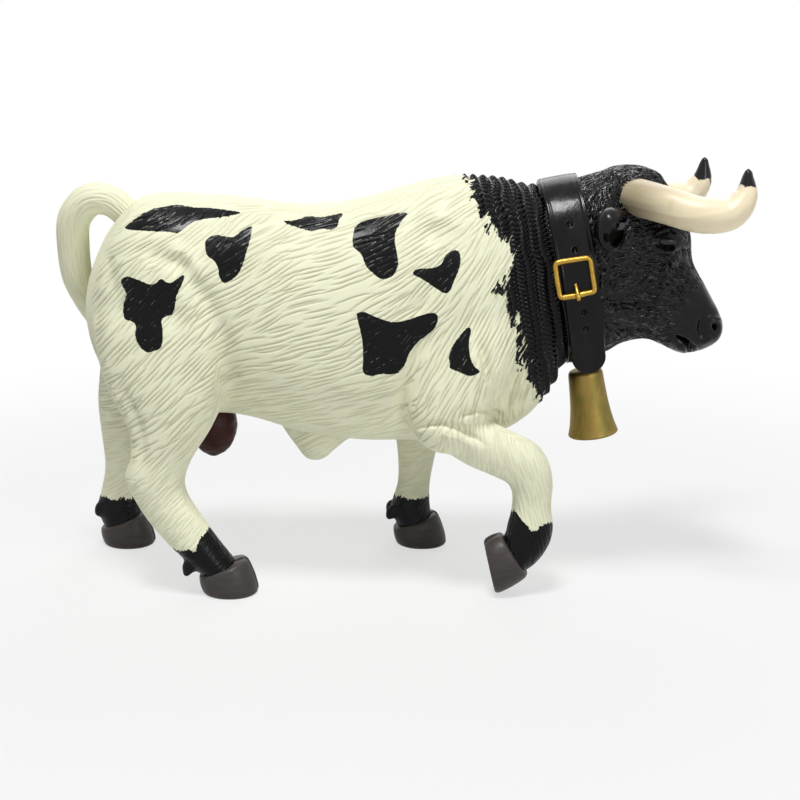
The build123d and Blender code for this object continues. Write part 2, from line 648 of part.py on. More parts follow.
hanger = max(hanger.solids(), key=lambda solid: solid.volume)

# Bell: a wall turned about its axis. Share of the flare from crown to mouth, share of the height
BELL_SHARES = [
    (-0.45, 0.00),
    (-0.05, 0.07),
    (0.03, 0.25),
    (0.22, 0.55),
    (0.60, 0.82),
    (1.00, 1.00),
]
crown_radius = BELL_CROWN_DIAMETER / 2
flare = (BELL_MOUTH_DIAMETER - BELL_CROWN_DIAMETER) / 2
crown_z = -(loop_radius + BAIL_CLEARANCE)
outer_wall = [(crown_radius + flare * f, crown_z - BELL_HEIGHT * h) for f, h in BELL_SHARES]
inner_wall = [(r - BELL_WALL, z) for r, z in outer_wall]
inner_wall[0] = (inner_wall[0][0], crown_z - BELL_WALL)
profile = [
    Line((0, crown_z), outer_wall[0]),
    Spline(*outer_wall),
    Line(outer_wall[-1], inner_wall[-1]),
    Spline(*reversed(inner_wall)),
    Line(inner_wall[0], (0, crown_z - BELL_WALL)),
    Line((0, crown_z - BELL_WALL), (0, crown_z)),
]
bell = revolve(Plane.XZ * make_face(profile), Axis.Z)

# Wire bail: bar through the hanger loop, legs through the crown
corner = BAIL_WIDTH / 2
leg_length = BELL_WALL - crown_z
bail = along_y * Cylinder(BAIL_WIRE / 2, BAIL_WIDTH)
for step in (-1, 1):
    leg = Cylinder(BAIL_WIRE / 2, leg_length, align=(Align.CENTER, Align.CENTER, Align.MAX))
    bail += Pos(step * corner, 0, 0) * Sphere(BAIL_WIRE / 2)
    bail += Pos(step * corner, 0, 0) * leg
    bell -= Pos(step * corner, 0, 0) * leg

# Clapper and its cross pin
pin_z = crown_z - BELL_WALL - CLAPPER_EYE_DIAMETER
pin_length = BELL_CROWN_DIAMETER - BELL_WALL
clapper_pin = Pos(0, 0, pin_z) * along_y * Cylinder(CLAPPER_PIN_DIAMETER / 2, pin_length)
bell -= clapper_pin
eye_bore = CLAPPER_PIN_DIAMETER / 2 + RUNNING_CLEARANCE
rod = Cylinder(
    CLAPPER_ROD_DIAMETER / 2, CLAPPER_LENGTH, align=(Align.CENTER, Align.CENTER, Align.MAX)
)
clapper = along_y * Cylinder(CLAPPER_EYE_DIAMETER / 2, CLAPPER_ROD_DIAMETER) + rod
clapper -= along_y * Cylinder(eye_bore, CLAPPER_EYE_DIAMETER)
clapper += Pos(0, 0, -CLAPPER_LENGTH) * Sphere(CLAPPER_BALL_DIAMETER / 2)
# The clapper hangs plumb, whatever the tilt of the bell
clapper_plane = Plane(origin=hinge + bell_up * pin_z, x_dir=(0, 1, 0), z_dir=(0, 0, 1))

pieces = {
    "right_body_half": right_half,
    "left_body_half": left_half,
    "head": head,
    "right_horn": right_horn,
    "left_horn": left_horn,
    "right_ear": right_ear,
    "left_ear": left_ear,
    "tail": tail,
    "scrotum": scrotum,
    "collar_strap": collar,
    "buckle_frame": frame,
    "buckle_prong": prong,
    "hanger_loop": hanger,
    "bell_shell": bell_plane * bell,
    "bell_bail": bell_plane * bail,
    "clapper_pin": bell_plane * clapper_pin,
    "clapper": clapper_plane * clapper,
}
for node, shape in pieces.items():
    export_step(shape, f"parts/{node}.step")
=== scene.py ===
# %% [markdown]
# # A walking bull figure
# The object is a moulded and hand-painted collectable: a hollow body cast in two halves, a
# separate head, horns, ears and tail, a strap with a buckle round the neck, and a small bell.
# The packed frame says where every piece is and how it moves. This lesson dresses that frame:
# it works out each visible surface with numpy, carves it and paints it.

import json

import bpy
import numpy as np
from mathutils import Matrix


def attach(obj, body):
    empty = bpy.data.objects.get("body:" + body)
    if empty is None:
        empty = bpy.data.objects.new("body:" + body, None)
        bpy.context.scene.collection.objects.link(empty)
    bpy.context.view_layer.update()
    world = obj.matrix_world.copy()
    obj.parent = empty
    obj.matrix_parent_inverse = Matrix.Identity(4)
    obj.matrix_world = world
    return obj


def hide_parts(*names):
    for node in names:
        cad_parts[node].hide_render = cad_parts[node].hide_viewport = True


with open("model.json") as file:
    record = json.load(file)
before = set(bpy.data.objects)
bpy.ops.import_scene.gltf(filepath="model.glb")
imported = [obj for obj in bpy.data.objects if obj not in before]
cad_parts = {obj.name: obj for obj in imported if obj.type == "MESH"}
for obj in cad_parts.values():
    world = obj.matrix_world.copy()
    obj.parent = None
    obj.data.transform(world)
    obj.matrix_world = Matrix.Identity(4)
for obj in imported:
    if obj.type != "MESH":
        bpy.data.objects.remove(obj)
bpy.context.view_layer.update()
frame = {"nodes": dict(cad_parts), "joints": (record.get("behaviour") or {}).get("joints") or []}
MM = 0.001
print("nodes", sorted(frame["nodes"]))

# %% [markdown]
# ## Meshes from arrays
# Every surface here is a grid of rings: one parameter runs along the piece and one runs round
# it. One helper turns the array into faces, closes both ends with a fan and makes sure that
# the faces look outwards, by the sign of the volume that they enclose.


# %% Grids of rings
def ring_faces(rings, around):
    """Quads between neighbouring rings, and a fan of triangles that closes each end."""
    step = np.arange(rings - 1)[:, None] * around
    here = np.arange(around)
    after = (here + 1) % around
    quads = np.stack([step + here, step + after, step + around + after, step + around + here], -1)
    first, last = rings * around, rings * around + 1
    top = (rings - 1) * around
    start = np.stack([np.full(around, first), after, here], -1)
    end = np.stack([np.full(around, last), top + here, top + after], -1)
    return quads.reshape(-1, 4), np.vstack([start, end])


def closed_tube(rings):
    """Points, quads and triangles of a closed tube, from an array (ring, place on ring, xyz)."""
    count, around = rings.shape[:2]
    quads, fans = ring_faces(count, around)
    ends = [rings[0].mean(0), rings[-1].mean(0)]
    points = np.vstack([rings.reshape(-1, 3), ends])
    corners = points[quads]
    volume = np.einsum("ij,ij->i", corners[:, 0], np.cross(corners[:, 1], corners[:, 2])).sum()
    volume += np.einsum("ij,ij->i", corners[:, 0], np.cross(corners[:, 2], corners[:, 3])).sum()
    if volume < 0:
        quads, fans = quads[:, ::-1], fans[:, ::-1]
    return points, quads, fans


def add_piece(name, points, quads, fans=None, normals=None, creases=None, **values):
    """Smooth mesh object from points in millimetres, with one float attribute per named array.
    Creases are pairs of points whose edges keep the shading of both sides apart."""
    faces = [quads] if fans is None else [quads, fans]
    loops = np.concatenate([group.ravel() for group in faces])
    totals = np.concatenate([np.full(len(group), group.shape[1]) for group in faces])
    mesh = bpy.data.meshes.new(name)
    mesh.vertices.add(len(points))
    mesh.vertices.foreach_set("co", (points * MM).astype(np.float32).ravel())
    mesh.loops.add(len(loops))
    mesh.loops.foreach_set("vertex_index", loops.astype(np.int32))
    mesh.polygons.add(len(totals))
    mesh.polygons.foreach_set("loop_start", (np.cumsum(totals) - totals).astype(np.int32))
    mesh.polygons.foreach_set("use_smooth", np.ones(len(totals), bool))
    mesh.update(calc_edges=True)
    if creases is not None:
        pairs = np.empty(len(mesh.edges) * 2, np.int32)
        mesh.edges.foreach_get("vertices", pairs)
        weight = np.array([len(points), 1])
        keys = np.sort(pairs.reshape(-1, 2), 1) @ weight
        marked = np.sort(creases, 1) @ weight
        sharp = mesh.attributes.new("sharp_edge", "BOOLEAN", "EDGE")
        sharp.data.foreach_set("value", np.isin(keys, marked))
    for key, array in values.items():
        mesh.attributes.new(key, "FLOAT", "POINT").data.foreach_set("value", array.astype(np.float32))
    if normals is not None:
        mesh.normals_split_custom_set_from_vertices(normals.astype(np.float32).tolist())
    piece = bpy.data.objects.new(name, mesh)
    bpy.context.scene.collection.objects.link(piece)
    return piece


print("mesh helpers ready")

# %% [markdown]
# ## Curves and chance
# A sculptor's form has no straight runs, so every table of sections becomes a smooth curve before
# it becomes a surface. Carving also needs chance that comes out the same on every run. It could
# be drawn from a seeded generator, one number after another. Here it is mixed from the numbers of
# a place instead, so that every point can ask for its own value.


# %% Curves through tables
def smooth_rows(rows, steps):
    """Cubic through the rows of a table: each row's slope is half the way between its neighbours."""
    rows = np.asarray(rows, float)
    before = np.vstack([2 * rows[0] - rows[1], rows[:-1]])
    after = np.vstack([rows[1:], 2 * rows[-1] - rows[-2]])
    slope = ((after - before) / 2)[:, None]
    t = np.linspace(0, 1, steps, endpoint=False)[None, :, None]
    here, there = rows[:-1, None], rows[1:, None]
    curve = here * (2 * t**3 - 3 * t**2 + 1) + slope[:-1] * (t**3 - 2 * t**2 + t)
    curve = curve + there * (3 * t**2 - 2 * t**3) + slope[1:] * (t**3 - t**2)
    return np.vstack([curve.reshape(-1, rows.shape[1]), rows[-1:]])


def round_angles(around):
    """Evenly spaced angles round a full turn."""
    return np.linspace(0, 2 * np.pi, around, endpoint=False)


def unit(vectors):
    """Vectors divided by their own length."""
    return vectors / np.linalg.norm(vectors, axis=-1, keepdims=True)


def ramp(low, high, x):
    """0 below low, 1 above high, with an S-curve between."""
    t = np.clip((x - low) / (high - low), 0, 1)
    return t * t * (3 - 2 * t)


print("curve helpers ready")

# %% Chance that depends on the place
ROW_MIX, COLUMN_MIX, LAYER_MIX, SEED_MIX = 374761393, 668265263, 1442695041, 974634777
LAST_MIX = 1274126177
KEY_BITS, LONG_KEY_BITS, SHARE_BITS = 0x7FFFFFFF, 0x7FFFFFFFFFFF, 0xFFFF


def chance(row, column, layer, seed):
    """Random share from 0 to 1 that depends only on whole numbers, by mixing their bits."""
    key = row * ROW_MIX + column * COLUMN_MIX + layer * LAYER_MIX + seed * SEED_MIX
    key = (key ^ key >> 13) & KEY_BITS
    key = key * LAST_MIX & LONG_KEY_BITS
    return ((key ^ key >> 16) & SHARE_BITS) / SHARE_BITS


def random_field(points, seed):
    """Smooth random value from -1 to 1: random numbers on a unit lattice, blended with S-curves."""
    cell = np.floor(points).astype(np.int64)
    part = points - cell
    ease = part**3 * (part * (part * 6 - 15) + 10)
    total = np.zeros(len(points))
    for corner in range(8):
        step = np.array([corner & 1, corner >> 1 & 1, corner >> 2])
        share = np.where(step == 1, ease, 1 - ease).prod(1)
        total += share * (2 * chance(*(cell + step).T, seed) - 1)
    return total


def random_shift(points, size, spacing, seed, reach):
    """Smooth random vectors up to this reach: one field for each axis, read at places far apart."""
    fields = [random_field(points / size + spacing * axis, seed + axis) for axis in range(3)]
    return np.stack(fields, 1) * reach


print("first share of chance", round(chance(1, 2, 3, 4), 3))

# %% [markdown]
# ## Camera first
# The photograph looks along +Y and a little down. The same camera is used twice: to render,
# and, as plain numbers, to say where a carved fold or a painted patch lies on the side of the
# body, because those were read from the photograph. The left side uses the mirror
# image of that view, with patches of its own.

# %% Camera
PICTURE = 800
FOCAL_PIXELS = 1350
PIXELS_PER_MM = 4.2  # on the near side of the figure
CAMERA_PLACE = np.array([1.83, -332.0, 124.0])
CAMERA_DIP = np.radians(13.5)
CLIP_START = 0.01

camera_data = bpy.data.cameras.new("photo_camera")
camera_data.lens = FOCAL_PIXELS * camera_data.sensor_width / PICTURE
camera_data.clip_start = CLIP_START
camera = bpy.data.objects.new("photo_camera", camera_data)
camera.location = CAMERA_PLACE * MM
camera.rotation_euler = (np.pi / 2 - CAMERA_DIP, 0, 0)
bpy.context.scene.collection.objects.link(camera)
bpy.context.scene.camera = camera


def side_view(points):
    """Pixel across and down of points in the picture. Points on the left use the mirror view."""
    ray = points * [1, 0, 1] - np.abs(points) * [0, 1, 0] - CAMERA_PLACE
    depth = ray[:, 1] * np.cos(CAMERA_DIP) - ray[:, 2] * np.sin(CAMERA_DIP)
    rise = ray[:, 1] * np.sin(CAMERA_DIP) + ray[:, 2] * np.cos(CAMERA_DIP)
    return PICTURE / 2 + FOCAL_PIXELS * np.stack([ray[:, 0], -rise], 1) / depth[:, None]


print("lens", round(camera_data.lens, 2), "mm")

# %% [markdown]
# ## The skin of the body
# On the real figure the torso and legs are one casting, so the creases between them are soft.
# A loft alone would show a hard line where a leg enters the barrel. The torso and each leg are
# therefore separate tubes of rings, a voxel remesh melts them into one skin, and a few rounds
# of averaging over neighbours soften the creases. The tables give the sections as shares of the
# figure's length, height and widths, as in the solids, with the front of the right thigh drawn
# back a little to follow the photograph.

# %% Sections of the torso and the legs
FIGURE_LENGTH, WITHERS, BARREL_WIDTH, HALF_STANCE, LEG = 167.0, 100.0, 45.0, 18.0, 10.0
CENTRING = 0.0038
NECK_CENTRE = np.array([FIGURE_LENGTH * (0.259 + CENTRING), 0.0, WITHERS * 0.776])
NECK_HALF_HEIGHT, NECK_HALF_WIDTH, NECK_LEAN = 21.6, 16.0, 10.0
NECK_AXIS = np.array([np.cos(np.radians(NECK_LEAN)), 0.0, np.sin(np.radians(NECK_LEAN))])
NECK_UP = np.cross(NECK_AXIS, [0.0, 1.0, 0.0])
SEAT = 4.85  # half the length of the straight seat under the strap
HALF_GAP = 0.2  # from the middle of the joint to the skin on either side
TORSO = [  # place along, top, bottom, half width, height of the widest line, lean
    (-0.458, 0.715, 0.630, 0.060, 0.50, 0), (-0.442, 0.795, 0.555, 0.220, 0.50, 0),
    (-0.413, 0.885, 0.475, 0.360, 0.52, 0), (-0.370, 0.953, 0.435, 0.435, 0.52, 0),
    (-0.310, 0.963, 0.420, 0.460, 0.52, 0), (-0.225, 0.954, 0.412, 0.455, 0.48, 0),
    (-0.145, 0.937, 0.375, 0.485, 0.44, 0), (-0.060, 0.947, 0.352, 0.500, 0.42, 0),
    (0.015, 0.981, 0.350, 0.490, 0.42, 0), (0.075, 1.004, 0.352, 0.465, 0.42, 1),
    (0.130, 1.003, 0.358, 0.430, 0.44, 3), (0.178, 0.998, 0.405, 0.390, 0.46, 6),
    (0.211, 0.985, 0.485, 0.370, 0.50, 9),
]
LEGS = {  # place along, share of the half stance, height, half depth, half width, lean
    "right_hind": [
        (-0.322, 0.36, 0.88, 1.10, 0.52, 0), (-0.328, 0.58, 0.76, 1.52, 0.80, 0),
        (-0.330, 0.665, 0.70, 1.63, 0.885, 0),
        (-0.331, 0.74, 0.64, 1.70, 0.95, 0), (-0.327, 0.86, 0.52, 1.49, 0.86, 0),
        (-0.324, 0.92, 0.42, 1.02, 0.72, 0), (-0.336, 0.95, 0.35, 0.77, 0.60, 0),
        (-0.349, 0.97, 0.295, 0.74, 0.56, 0), (-0.343, 0.98, 0.25, 0.68, 0.52, 0),
        (-0.320, 1.00, 0.185, 0.69, 0.50, 0), (-0.294, 1.00, 0.125, 0.64, 0.52, 0),
        (-0.273, 1.00, 0.085, 0.58, 0.53, 0), (-0.256, 1.00, 0.05, 0.52, 0.50, 0),
    ],
    "left_hind": [
        (-0.335, 0.36, 0.88, 1.10, 0.52, 0), (-0.348, 0.58, 0.76, 1.45, 0.80, 0),
        (-0.362, 0.74, 0.64, 1.52, 0.93, 0), (-0.386, 0.84, 0.52, 1.28, 0.84, 0),
        (-0.418, 0.91, 0.42, 0.90, 0.66, 0), (-0.434, 0.94, 0.36, 0.64, 0.55, 0),
        (-0.438, 0.96, 0.295, 0.53, 0.49, 0), (-0.438, 0.98, 0.22, 0.50, 0.46, 0),
        (-0.444, 1.00, 0.155, 0.54, 0.48, 0), (-0.449, 1.00, 0.105, 0.57, 0.52, 0),
        (-0.444, 1.00, 0.05, 0.52, 0.50, 0),
    ],
    "left_fore": [
        (0.100, 0.34, 0.80, 0.90, 0.50, 0), (0.088, 0.56, 0.68, 1.20, 0.76, 0),
        (0.079, 0.655, 0.625, 1.22, 0.805, 0),
        (0.070, 0.74, 0.57, 1.22, 0.84, 0), (0.052, 0.85, 0.46, 1.00, 0.72, 0),
        (0.036, 0.91, 0.35, 0.66, 0.57, 0), (0.034, 0.95, 0.26, 0.52, 0.49, 0),
        (0.030, 0.98, 0.18, 0.44, 0.43, 0), (0.025, 1.00, 0.125, 0.50, 0.48, 0),
        (0.025, 1.00, 0.098, 0.53, 0.51, 0), (0.032, 1.00, 0.05, 0.50, 0.49, 0),
    ],
    "right_arm": [
        (0.122, 0.36, 0.84, 1.00, 0.52, 0), (0.108, 0.60, 0.71, 1.40, 0.78, 0),
        (0.092, 0.78, 0.58, 1.36, 0.86, 0), (0.080, 0.90, 0.475, 1.12, 0.80, 0),
        (0.074, 0.96, 0.395, 0.78, 0.66, 0), (0.078, 0.98, 0.360, 0.42, 0.46, 0),
    ],
    "right_forearm": [
        (0.082, 0.95, 0.405, 0.48, 0.54, 66), (0.114, 0.98, 0.384, 0.60, 0.60, 66),
        (0.152, 1.00, 0.356, 0.60, 0.56, 64), (0.186, 1.00, 0.326, 0.60, 0.54, 48),
        (0.199, 1.00, 0.276, 0.52, 0.49, 12), (0.199, 1.00, 0.222, 0.48, 0.46, 0),
        (0.198, 1.00, 0.166, 0.57, 0.52, -12), (0.186, 1.00, 0.118, 0.54, 0.53, -45),
        (0.164, 1.00, 0.082, 0.46, 0.46, -70),
    ],
}
print(len(TORSO), "sections of the torso,", sum(len(rows) for rows in LEGS.values()), "of the legs")

# %% Rings from the sections
ROW_STEPS, TORSO_AROUND, LEG_AROUND = 8, 160, 64


def place(x_share):
    """Millimetres along the figure from a share of its length."""
    return FIGURE_LENGTH * (np.asarray(x_share) + CENTRING)


def neck_row(offset):
    """Row of the neck joint's section, that far along the neck's axis from its middle."""
    x, _, z = NECK_CENTRE + NECK_AXIS * offset
    return [x, z + NECK_HALF_HEIGHT, z - NECK_HALF_HEIGHT, NECK_HALF_WIDTH, 0.5, NECK_LEAN]


def section_rows(table, width):
    """Rows in millimetres from a table of shares."""
    rows = np.array(table) * [1, WITHERS, WITHERS, width, 1, 1]
    rows[:, 0] = place(rows[:, 0])
    return rows


def egg_rings(rows, around, fullness=2.25):
    """Rings across the body: a superellipse above and one below the widest line, tipped by the lean."""
    along, top, bottom, half, widest, lean = (column[:, None] for column in np.asarray(rows).T)
    angle = round_angles(around)
    out = np.sign(np.cos(angle)) * np.abs(np.cos(angle)) ** (2 / fullness)
    up = np.sign(np.sin(angle)) * np.abs(np.sin(angle)) ** (2 / fullness)
    middle = (top + bottom) / 2
    belt = bottom + (top - bottom) * widest
    rise = belt - middle + np.where(up > 0, (top - belt) * up, (belt - bottom) * up)
    turn = np.radians(lean)
    return np.stack([along - rise * np.sin(turn), half * out, middle + rise * np.cos(turn)], -1)


def leg_rings(rows, side, around):
    """Ellipses along a leg, each tipped by its lean."""
    along, out, height, depth, width, lean = (column[:, None] for column in np.asarray(rows).T)
    angle, turn = round_angles(around), np.radians(lean)
    ahead = LEG * depth * np.cos(angle)
    x = place(along) + ahead * np.cos(turn)
    y = side * HALF_STANCE * out + LEG * width * np.sin(angle)
    return np.stack([x, y, WITHERS * height + ahead * np.sin(turn)], -1)


torso_rows = section_rows(TORSO, BARREL_WIDTH)
torso_rows = np.vstack([torso_rows, neck_row(-SEAT), neck_row(-HALF_GAP)])
tubes = [closed_tube(egg_rings(smooth_rows(torso_rows, ROW_STEPS), TORSO_AROUND))]
for name, rows in LEGS.items():
    side = -1 if name.startswith("right") else 1
    tubes.append(closed_tube(leg_rings(smooth_rows(rows, ROW_STEPS), side, LEG_AROUND)))
print(len(tubes), "tubes")

# %% [markdown]
# The sheath is a blunt cone under the belly, and each fetlock carries two small spurs behind it.
# Both are stacks of ellipses, so they join the same list of tubes.

# %% Sheath and spurs
SHEATH = [  # height, middle along, half length, half width, in millimetres
    (43.0, -17.0, 12.0, 8.0), (38.5, -17.5, 11.0, 7.0), (34.5, -18.6, 7.6, 5.2),
    (31.4, -19.4, 4.6, 3.8), (29.4, -19.7, 2.9, 2.6), (28.6, -19.8, 1.3, 1.2),
]
SPURS = [  # leg's side, place along, height, radius, slant of the spur back from straight down
    (-1, -49.8, 7.2, 1.45, 25), (1, -78.8, 10.6, 1.45, 40), (1, -0.3, 9.6, 1.45, 35),
]
SHEATH_STEPS, SHEATH_AROUND = 5, 48
SPUR_OFFSET = 2.6  # from the middle of the leg to each of its two spurs
SPUR_SHARES = np.array([1.3, 0.95, 1.35])
SPUR_POINT_SHARES = np.array([0.8, 0.7, 1.0])


def stack_rings(rows, around):
    """Flat ellipses one above the other."""
    height, along, half_length, half_width = (column[:, None] for column in np.asarray(rows).T)
    angle = round_angles(around)
    x = along + half_length * np.cos(angle)
    return np.stack([x, half_width * np.sin(angle), np.broadcast_to(height, x.shape)], -1)


def bead_rings(centre, radii, around=32, count=18):
    """Ellipsoid as rings from its lowest to its highest point."""
    tilt = np.linspace(-np.pi / 2, np.pi / 2, count + 2)[1:-1, None]
    angle, flat = round_angles(around), np.cos(tilt)
    ball = np.broadcast_arrays(flat * np.cos(angle), flat * np.sin(angle), np.sin(tilt))
    return np.stack(ball, -1) * radii + centre


tubes.append(closed_tube(stack_rings(smooth_rows(SHEATH, SHEATH_STEPS), SHEATH_AROUND)))
for side, along, height, radius, slant in SPURS:
    turn = np.radians(slant)
    drop = np.array([-radius * np.sin(turn), 0, -radius * np.cos(turn)])
    for step in (-1, 1):
        centre = np.array([along, side * HALF_STANCE + step * SPUR_OFFSET, height])
        tubes.append(closed_tube(bead_rings(centre, radius * SPUR_SHARES)))
        tubes.append(closed_tube(bead_rings(centre + drop, radius * SPUR_POINT_SHARES)))
print(len(tubes), "tubes with the sheath and the spurs")

# %% [markdown]
# Joining the tubes with boolean cuts would keep a hard line at each joint. A voxel remesh draws
# one new skin round all of them instead, and averaging over neighbours rounds its creases. The
# feet are softened less than the body, so that they keep their small forms.


# %% Melt the tubes into one skin
def melt(name, parts, voxel):
    """Points and quads of one closed skin around all the tubes, from a voxel remesh."""
    starts = np.cumsum([0] + [len(points) for points, quads, fans in parts])
    points = np.vstack([part[0] for part in parts])
    quads = np.vstack([part[1] + start for part, start in zip(parts, starts)])
    fans = np.vstack([part[2] + start for part, start in zip(parts, starts)])
    rough = add_piece(name, points, quads, fans)
    melter = rough.modifiers.new("melt", "REMESH")
    melter.mode = "VOXEL"
    melter.voxel_size = voxel * MM
    evaluated = rough.evaluated_get(bpy.context.evaluated_depsgraph_get())
    shaped = bpy.data.meshes.new_from_object(evaluated)
    skin = np.empty(len(shaped.vertices) * 3, np.float32)
    shaped.vertices.foreach_get("co", skin)
    faces = np.empty(len(shaped.loops), np.int32)
    shaped.loops.foreach_get("vertex_index", faces)
    bpy.data.meshes.remove(shaped)
    bpy.data.objects.remove(rough)
    return skin.reshape(-1, 3) / MM, faces.reshape(-1, 4)


def neighbour_mean(points, quads):
    """For each point, the mean of the points that share an edge with it."""
    start, end, size = quads.ravel(), np.roll(quads, -1, 1).ravel(), len(points)
    count = np.bincount(start, minlength=size) + np.bincount(end, minlength=size)
    total = np.empty((size, 3))
    for k in range(3):
        total[:, k] = np.bincount(start, points[end, k], size) + np.bincount(end, points[start, k], size)
    return total / count[:, None]


def soften(points, quads, rounds, strength):
    """Moves each point a share of the way, the strength, to its neighbours' mean, again and again."""
    for _ in range(rounds):
        points = points + (neighbour_mean(points, quads) - points) * strength
    return points


def point_normals(points, quads):
    """Outward direction at each point: the mean of its faces' crossed diagonals."""
    corner = points[quads]
    face = np.cross(corner[:, 2] - corner[:, 0], corner[:, 3] - corner[:, 1])
    total = [np.bincount(quads.ravel(), np.repeat(face[:, k], 4), len(points)) for k in range(3)]
    return unit(np.stack(total, 1) + 1e-12)


VOXEL = 0.26
SHANK_TOP, FOOT_TOP = 33, 14
BODY_CALM, SHANK_CALM, FOOT_CALM = 0.80, 0.56, 0.29
CREASE_SOFTENING, FOLD_SOFTENING = 4.9, 0.7  # rounds of softening if a voxel were 1 mm
skin, skin_quads = melt("body_blank", tubes, VOXEL)
calm = np.where(skin[:, 2] > FOOT_TOP, SHANK_CALM, FOOT_CALM)
calm = np.where(skin[:, 2] > SHANK_TOP, BODY_CALM, calm)[:, None]
skin = soften(skin, skin_quads, int(CREASE_SOFTENING / VOXEL**2), calm)
print("skin points", len(skin), "box", skin.min(0).round(2), skin.max(0).round(2))

# %% [markdown]
# ## Muscles and folds
# The folds of the shoulder, elbow, thigh and chest are soft lines that the sculptor pressed in.
# Each is a line of pixels on the side view with a width and a depth. The push at a point is the
# depth times a bell curve of its distance from the line, along the point's own normal. The broad
# ones come first and are softened, so that no ledge stays where the body turns away.

# %% Press the folds
FOLDS = [  # half width in pixels, push in millimetres, line on the side view, sides it is on
    (11, -1.4, [(188, 270), (206, 302), (221, 336), (227, 372), (227, 412)], "both"),
    (14, 0.8, [(168, 276), (188, 306), (202, 338), (207, 370), (205, 402)], "both"),
    (9, -1.1, [(140, 252), (160, 255), (176, 262), (186, 268)], "both"),
    (7, 0.9, [(172, 250), (186, 254), (196, 266), (203, 284)], "both"),
    (7, -0.6, [(104, 248), (110, 272), (116, 300)], "both"),
    (6, -1.5, [(426, 332), (413, 362), (404, 395), (399, 424)], "right"),
    (8, 0.7, [(434, 342), (424, 370), (417, 400), (414, 420)], "right"),
    (12, -1.0, [(422, 232), (442, 236)], "both"),
    (8, 0.6, [(428, 215), (450, 219), (466, 230)], "both"),
    (9, -0.6, [(448, 268), (428, 298), (410, 318)], "both"),
    (4, -1.0, [(480, 340), (486, 362), (494, 390), (499, 410)], "right"),
    (6, 0.6, [(470, 346), (478, 370), (487, 398)], "right"),
    (2.8, -0.9, [(505, 406), (514, 386), (522, 364)], "both"),
    (2.8, -0.9, [(515, 411), (525, 391), (533, 370)], "both"),
    (2.6, 0.6, [(510, 409), (519, 389), (528, 367)], "both"),
    (2.8, -1.1, [(412, 428), (428, 425), (442, 424), (462, 430), (484, 444)], "right"),
    (4.5, 0.5, [(436, 434), (456, 438), (474, 446)], "right"),
    (2.8, -1.0, [(460, 417), (476, 411), (490, 411), (504, 417)], "right"),
    (4.5, -0.6, [(122, 388), (134, 412), (142, 436), (142, 466)], "right"),
    (5.0, 0.4, [(112, 386), (124, 412), (133, 438), (131, 466)], "right"),
]
BROAD = 6  # half width from which a fold counts as broad
OFF_SIDE, ON_SIDE = 0.05, 0.45  # share of the normal that points sideways
FADE_START, FADE_END = -0.12, 0.25  # shares of a line
FAR_AWAY = 1e9


def nearest_on_line(spots, line):
    """For each spot, the distance in pixels to the nearest place on a line of pixels, and how far
    along the line that place is, from 0 to 1."""
    nearest, along = np.full(len(spots), FAR_AWAY), np.zeros(len(spots))
    corners = np.array(line, float)
    for number, (start, end) in enumerate(zip(corners[:-1], corners[1:])):
        run = end - start
        share = np.clip(((spots - start) @ run) / (run @ run), 0, 1)
        away = np.linalg.norm(spots - start - share[:, None] * run, axis=1)
        along = np.where(away < nearest, (number + share) / (len(line) - 1), along)
        nearest = np.minimum(nearest, away)
    return nearest, along


def line_distance(spots, line):
    """For each spot, the distance in pixels to a line of pixels."""
    return nearest_on_line(spots, line)[0]


def press(points, normals, folds):
    """Total push of a list of folds at each point. It fades towards both ends of a line, and where
    the surface turns off the side."""
    spots = side_view(points)
    facing = ramp(OFF_SIDE, ON_SIDE, np.abs(normals[:, 1]))
    push = np.zeros(len(points))
    for width, depth, line, sides in folds:
        on_side = (points[:, 1] < 0) | (sides == "both")
        away, along = nearest_on_line(spots, line)
        fade = ramp(FADE_START, FADE_END, along) * ramp(FADE_START, FADE_END, 1 - along)
        push += depth * fade * np.exp(-((away / width) ** 2)) * facing * on_side
    return push


broad_folds = [fold for fold in FOLDS if fold[0] >= BROAD]
fine_folds = [fold for fold in FOLDS if fold[0] < BROAD]
normals = point_normals(skin, skin_quads)
skin = skin + normals * press(skin, normals, broad_folds)[:, None]
skin = soften(skin, skin_quads, int(FOLD_SOFTENING / VOXEL**2), calm)
normals = point_normals(skin, skin_quads)
skin = skin + normals * press(skin, normals, fine_folds)[:, None]
print(len(FOLDS), "folds pressed")

# %% [markdown]
# ## Carved hair
# The coat is cut with short tapered strokes that change direction over the body. The directions
# were read at a few places and are spread over a grid. The plane of the side view is divided into
# slanted bricks for each of twelve directions, and every brick holds one cut, drawn only where the
# wanted direction is nearest to the brick's own. Surfaces that face up or ahead use planes of
# their own, so that no cut is stretched.

# %% Directions of the hair
HAIR = [  # pixel across, pixel down, degrees that the strokes rise towards the head
    (140, 225, 22), (120, 300, 45), (165, 300, 42), (200, 350, 42), (150, 380, 45), (185, 420, 38),
    (150, 470, 42), (185, 510, 50), (205, 240, 45), (235, 300, 30), (255, 270, 24), (260, 350, 18),
    (260, 400, 12), (320, 300, 17), (320, 380, 10), (330, 225, 12), (390, 300, 24), (385, 400, 16),
    (420, 230, 25), (440, 300, 50), (430, 370, 62), (470, 320, 55), (450, 400, 66), (430, 422, 70),
    (470, 435, 98), (510, 440, 100), (535, 460, 98), (540, 500, 102), (500, 350, 66), (520, 390, 72),
    (490, 250, 60), (100, 420, 18), (110, 470, 12), (400, 470, 14), (410, 430, 20), (470, 200, 30),
]
GRID_STEP, GRID_START = 2.0, -90.0
MARK_CORE, MARK_FALL = 4, 1.5  # square millimetres in which a mark stays level, and its power


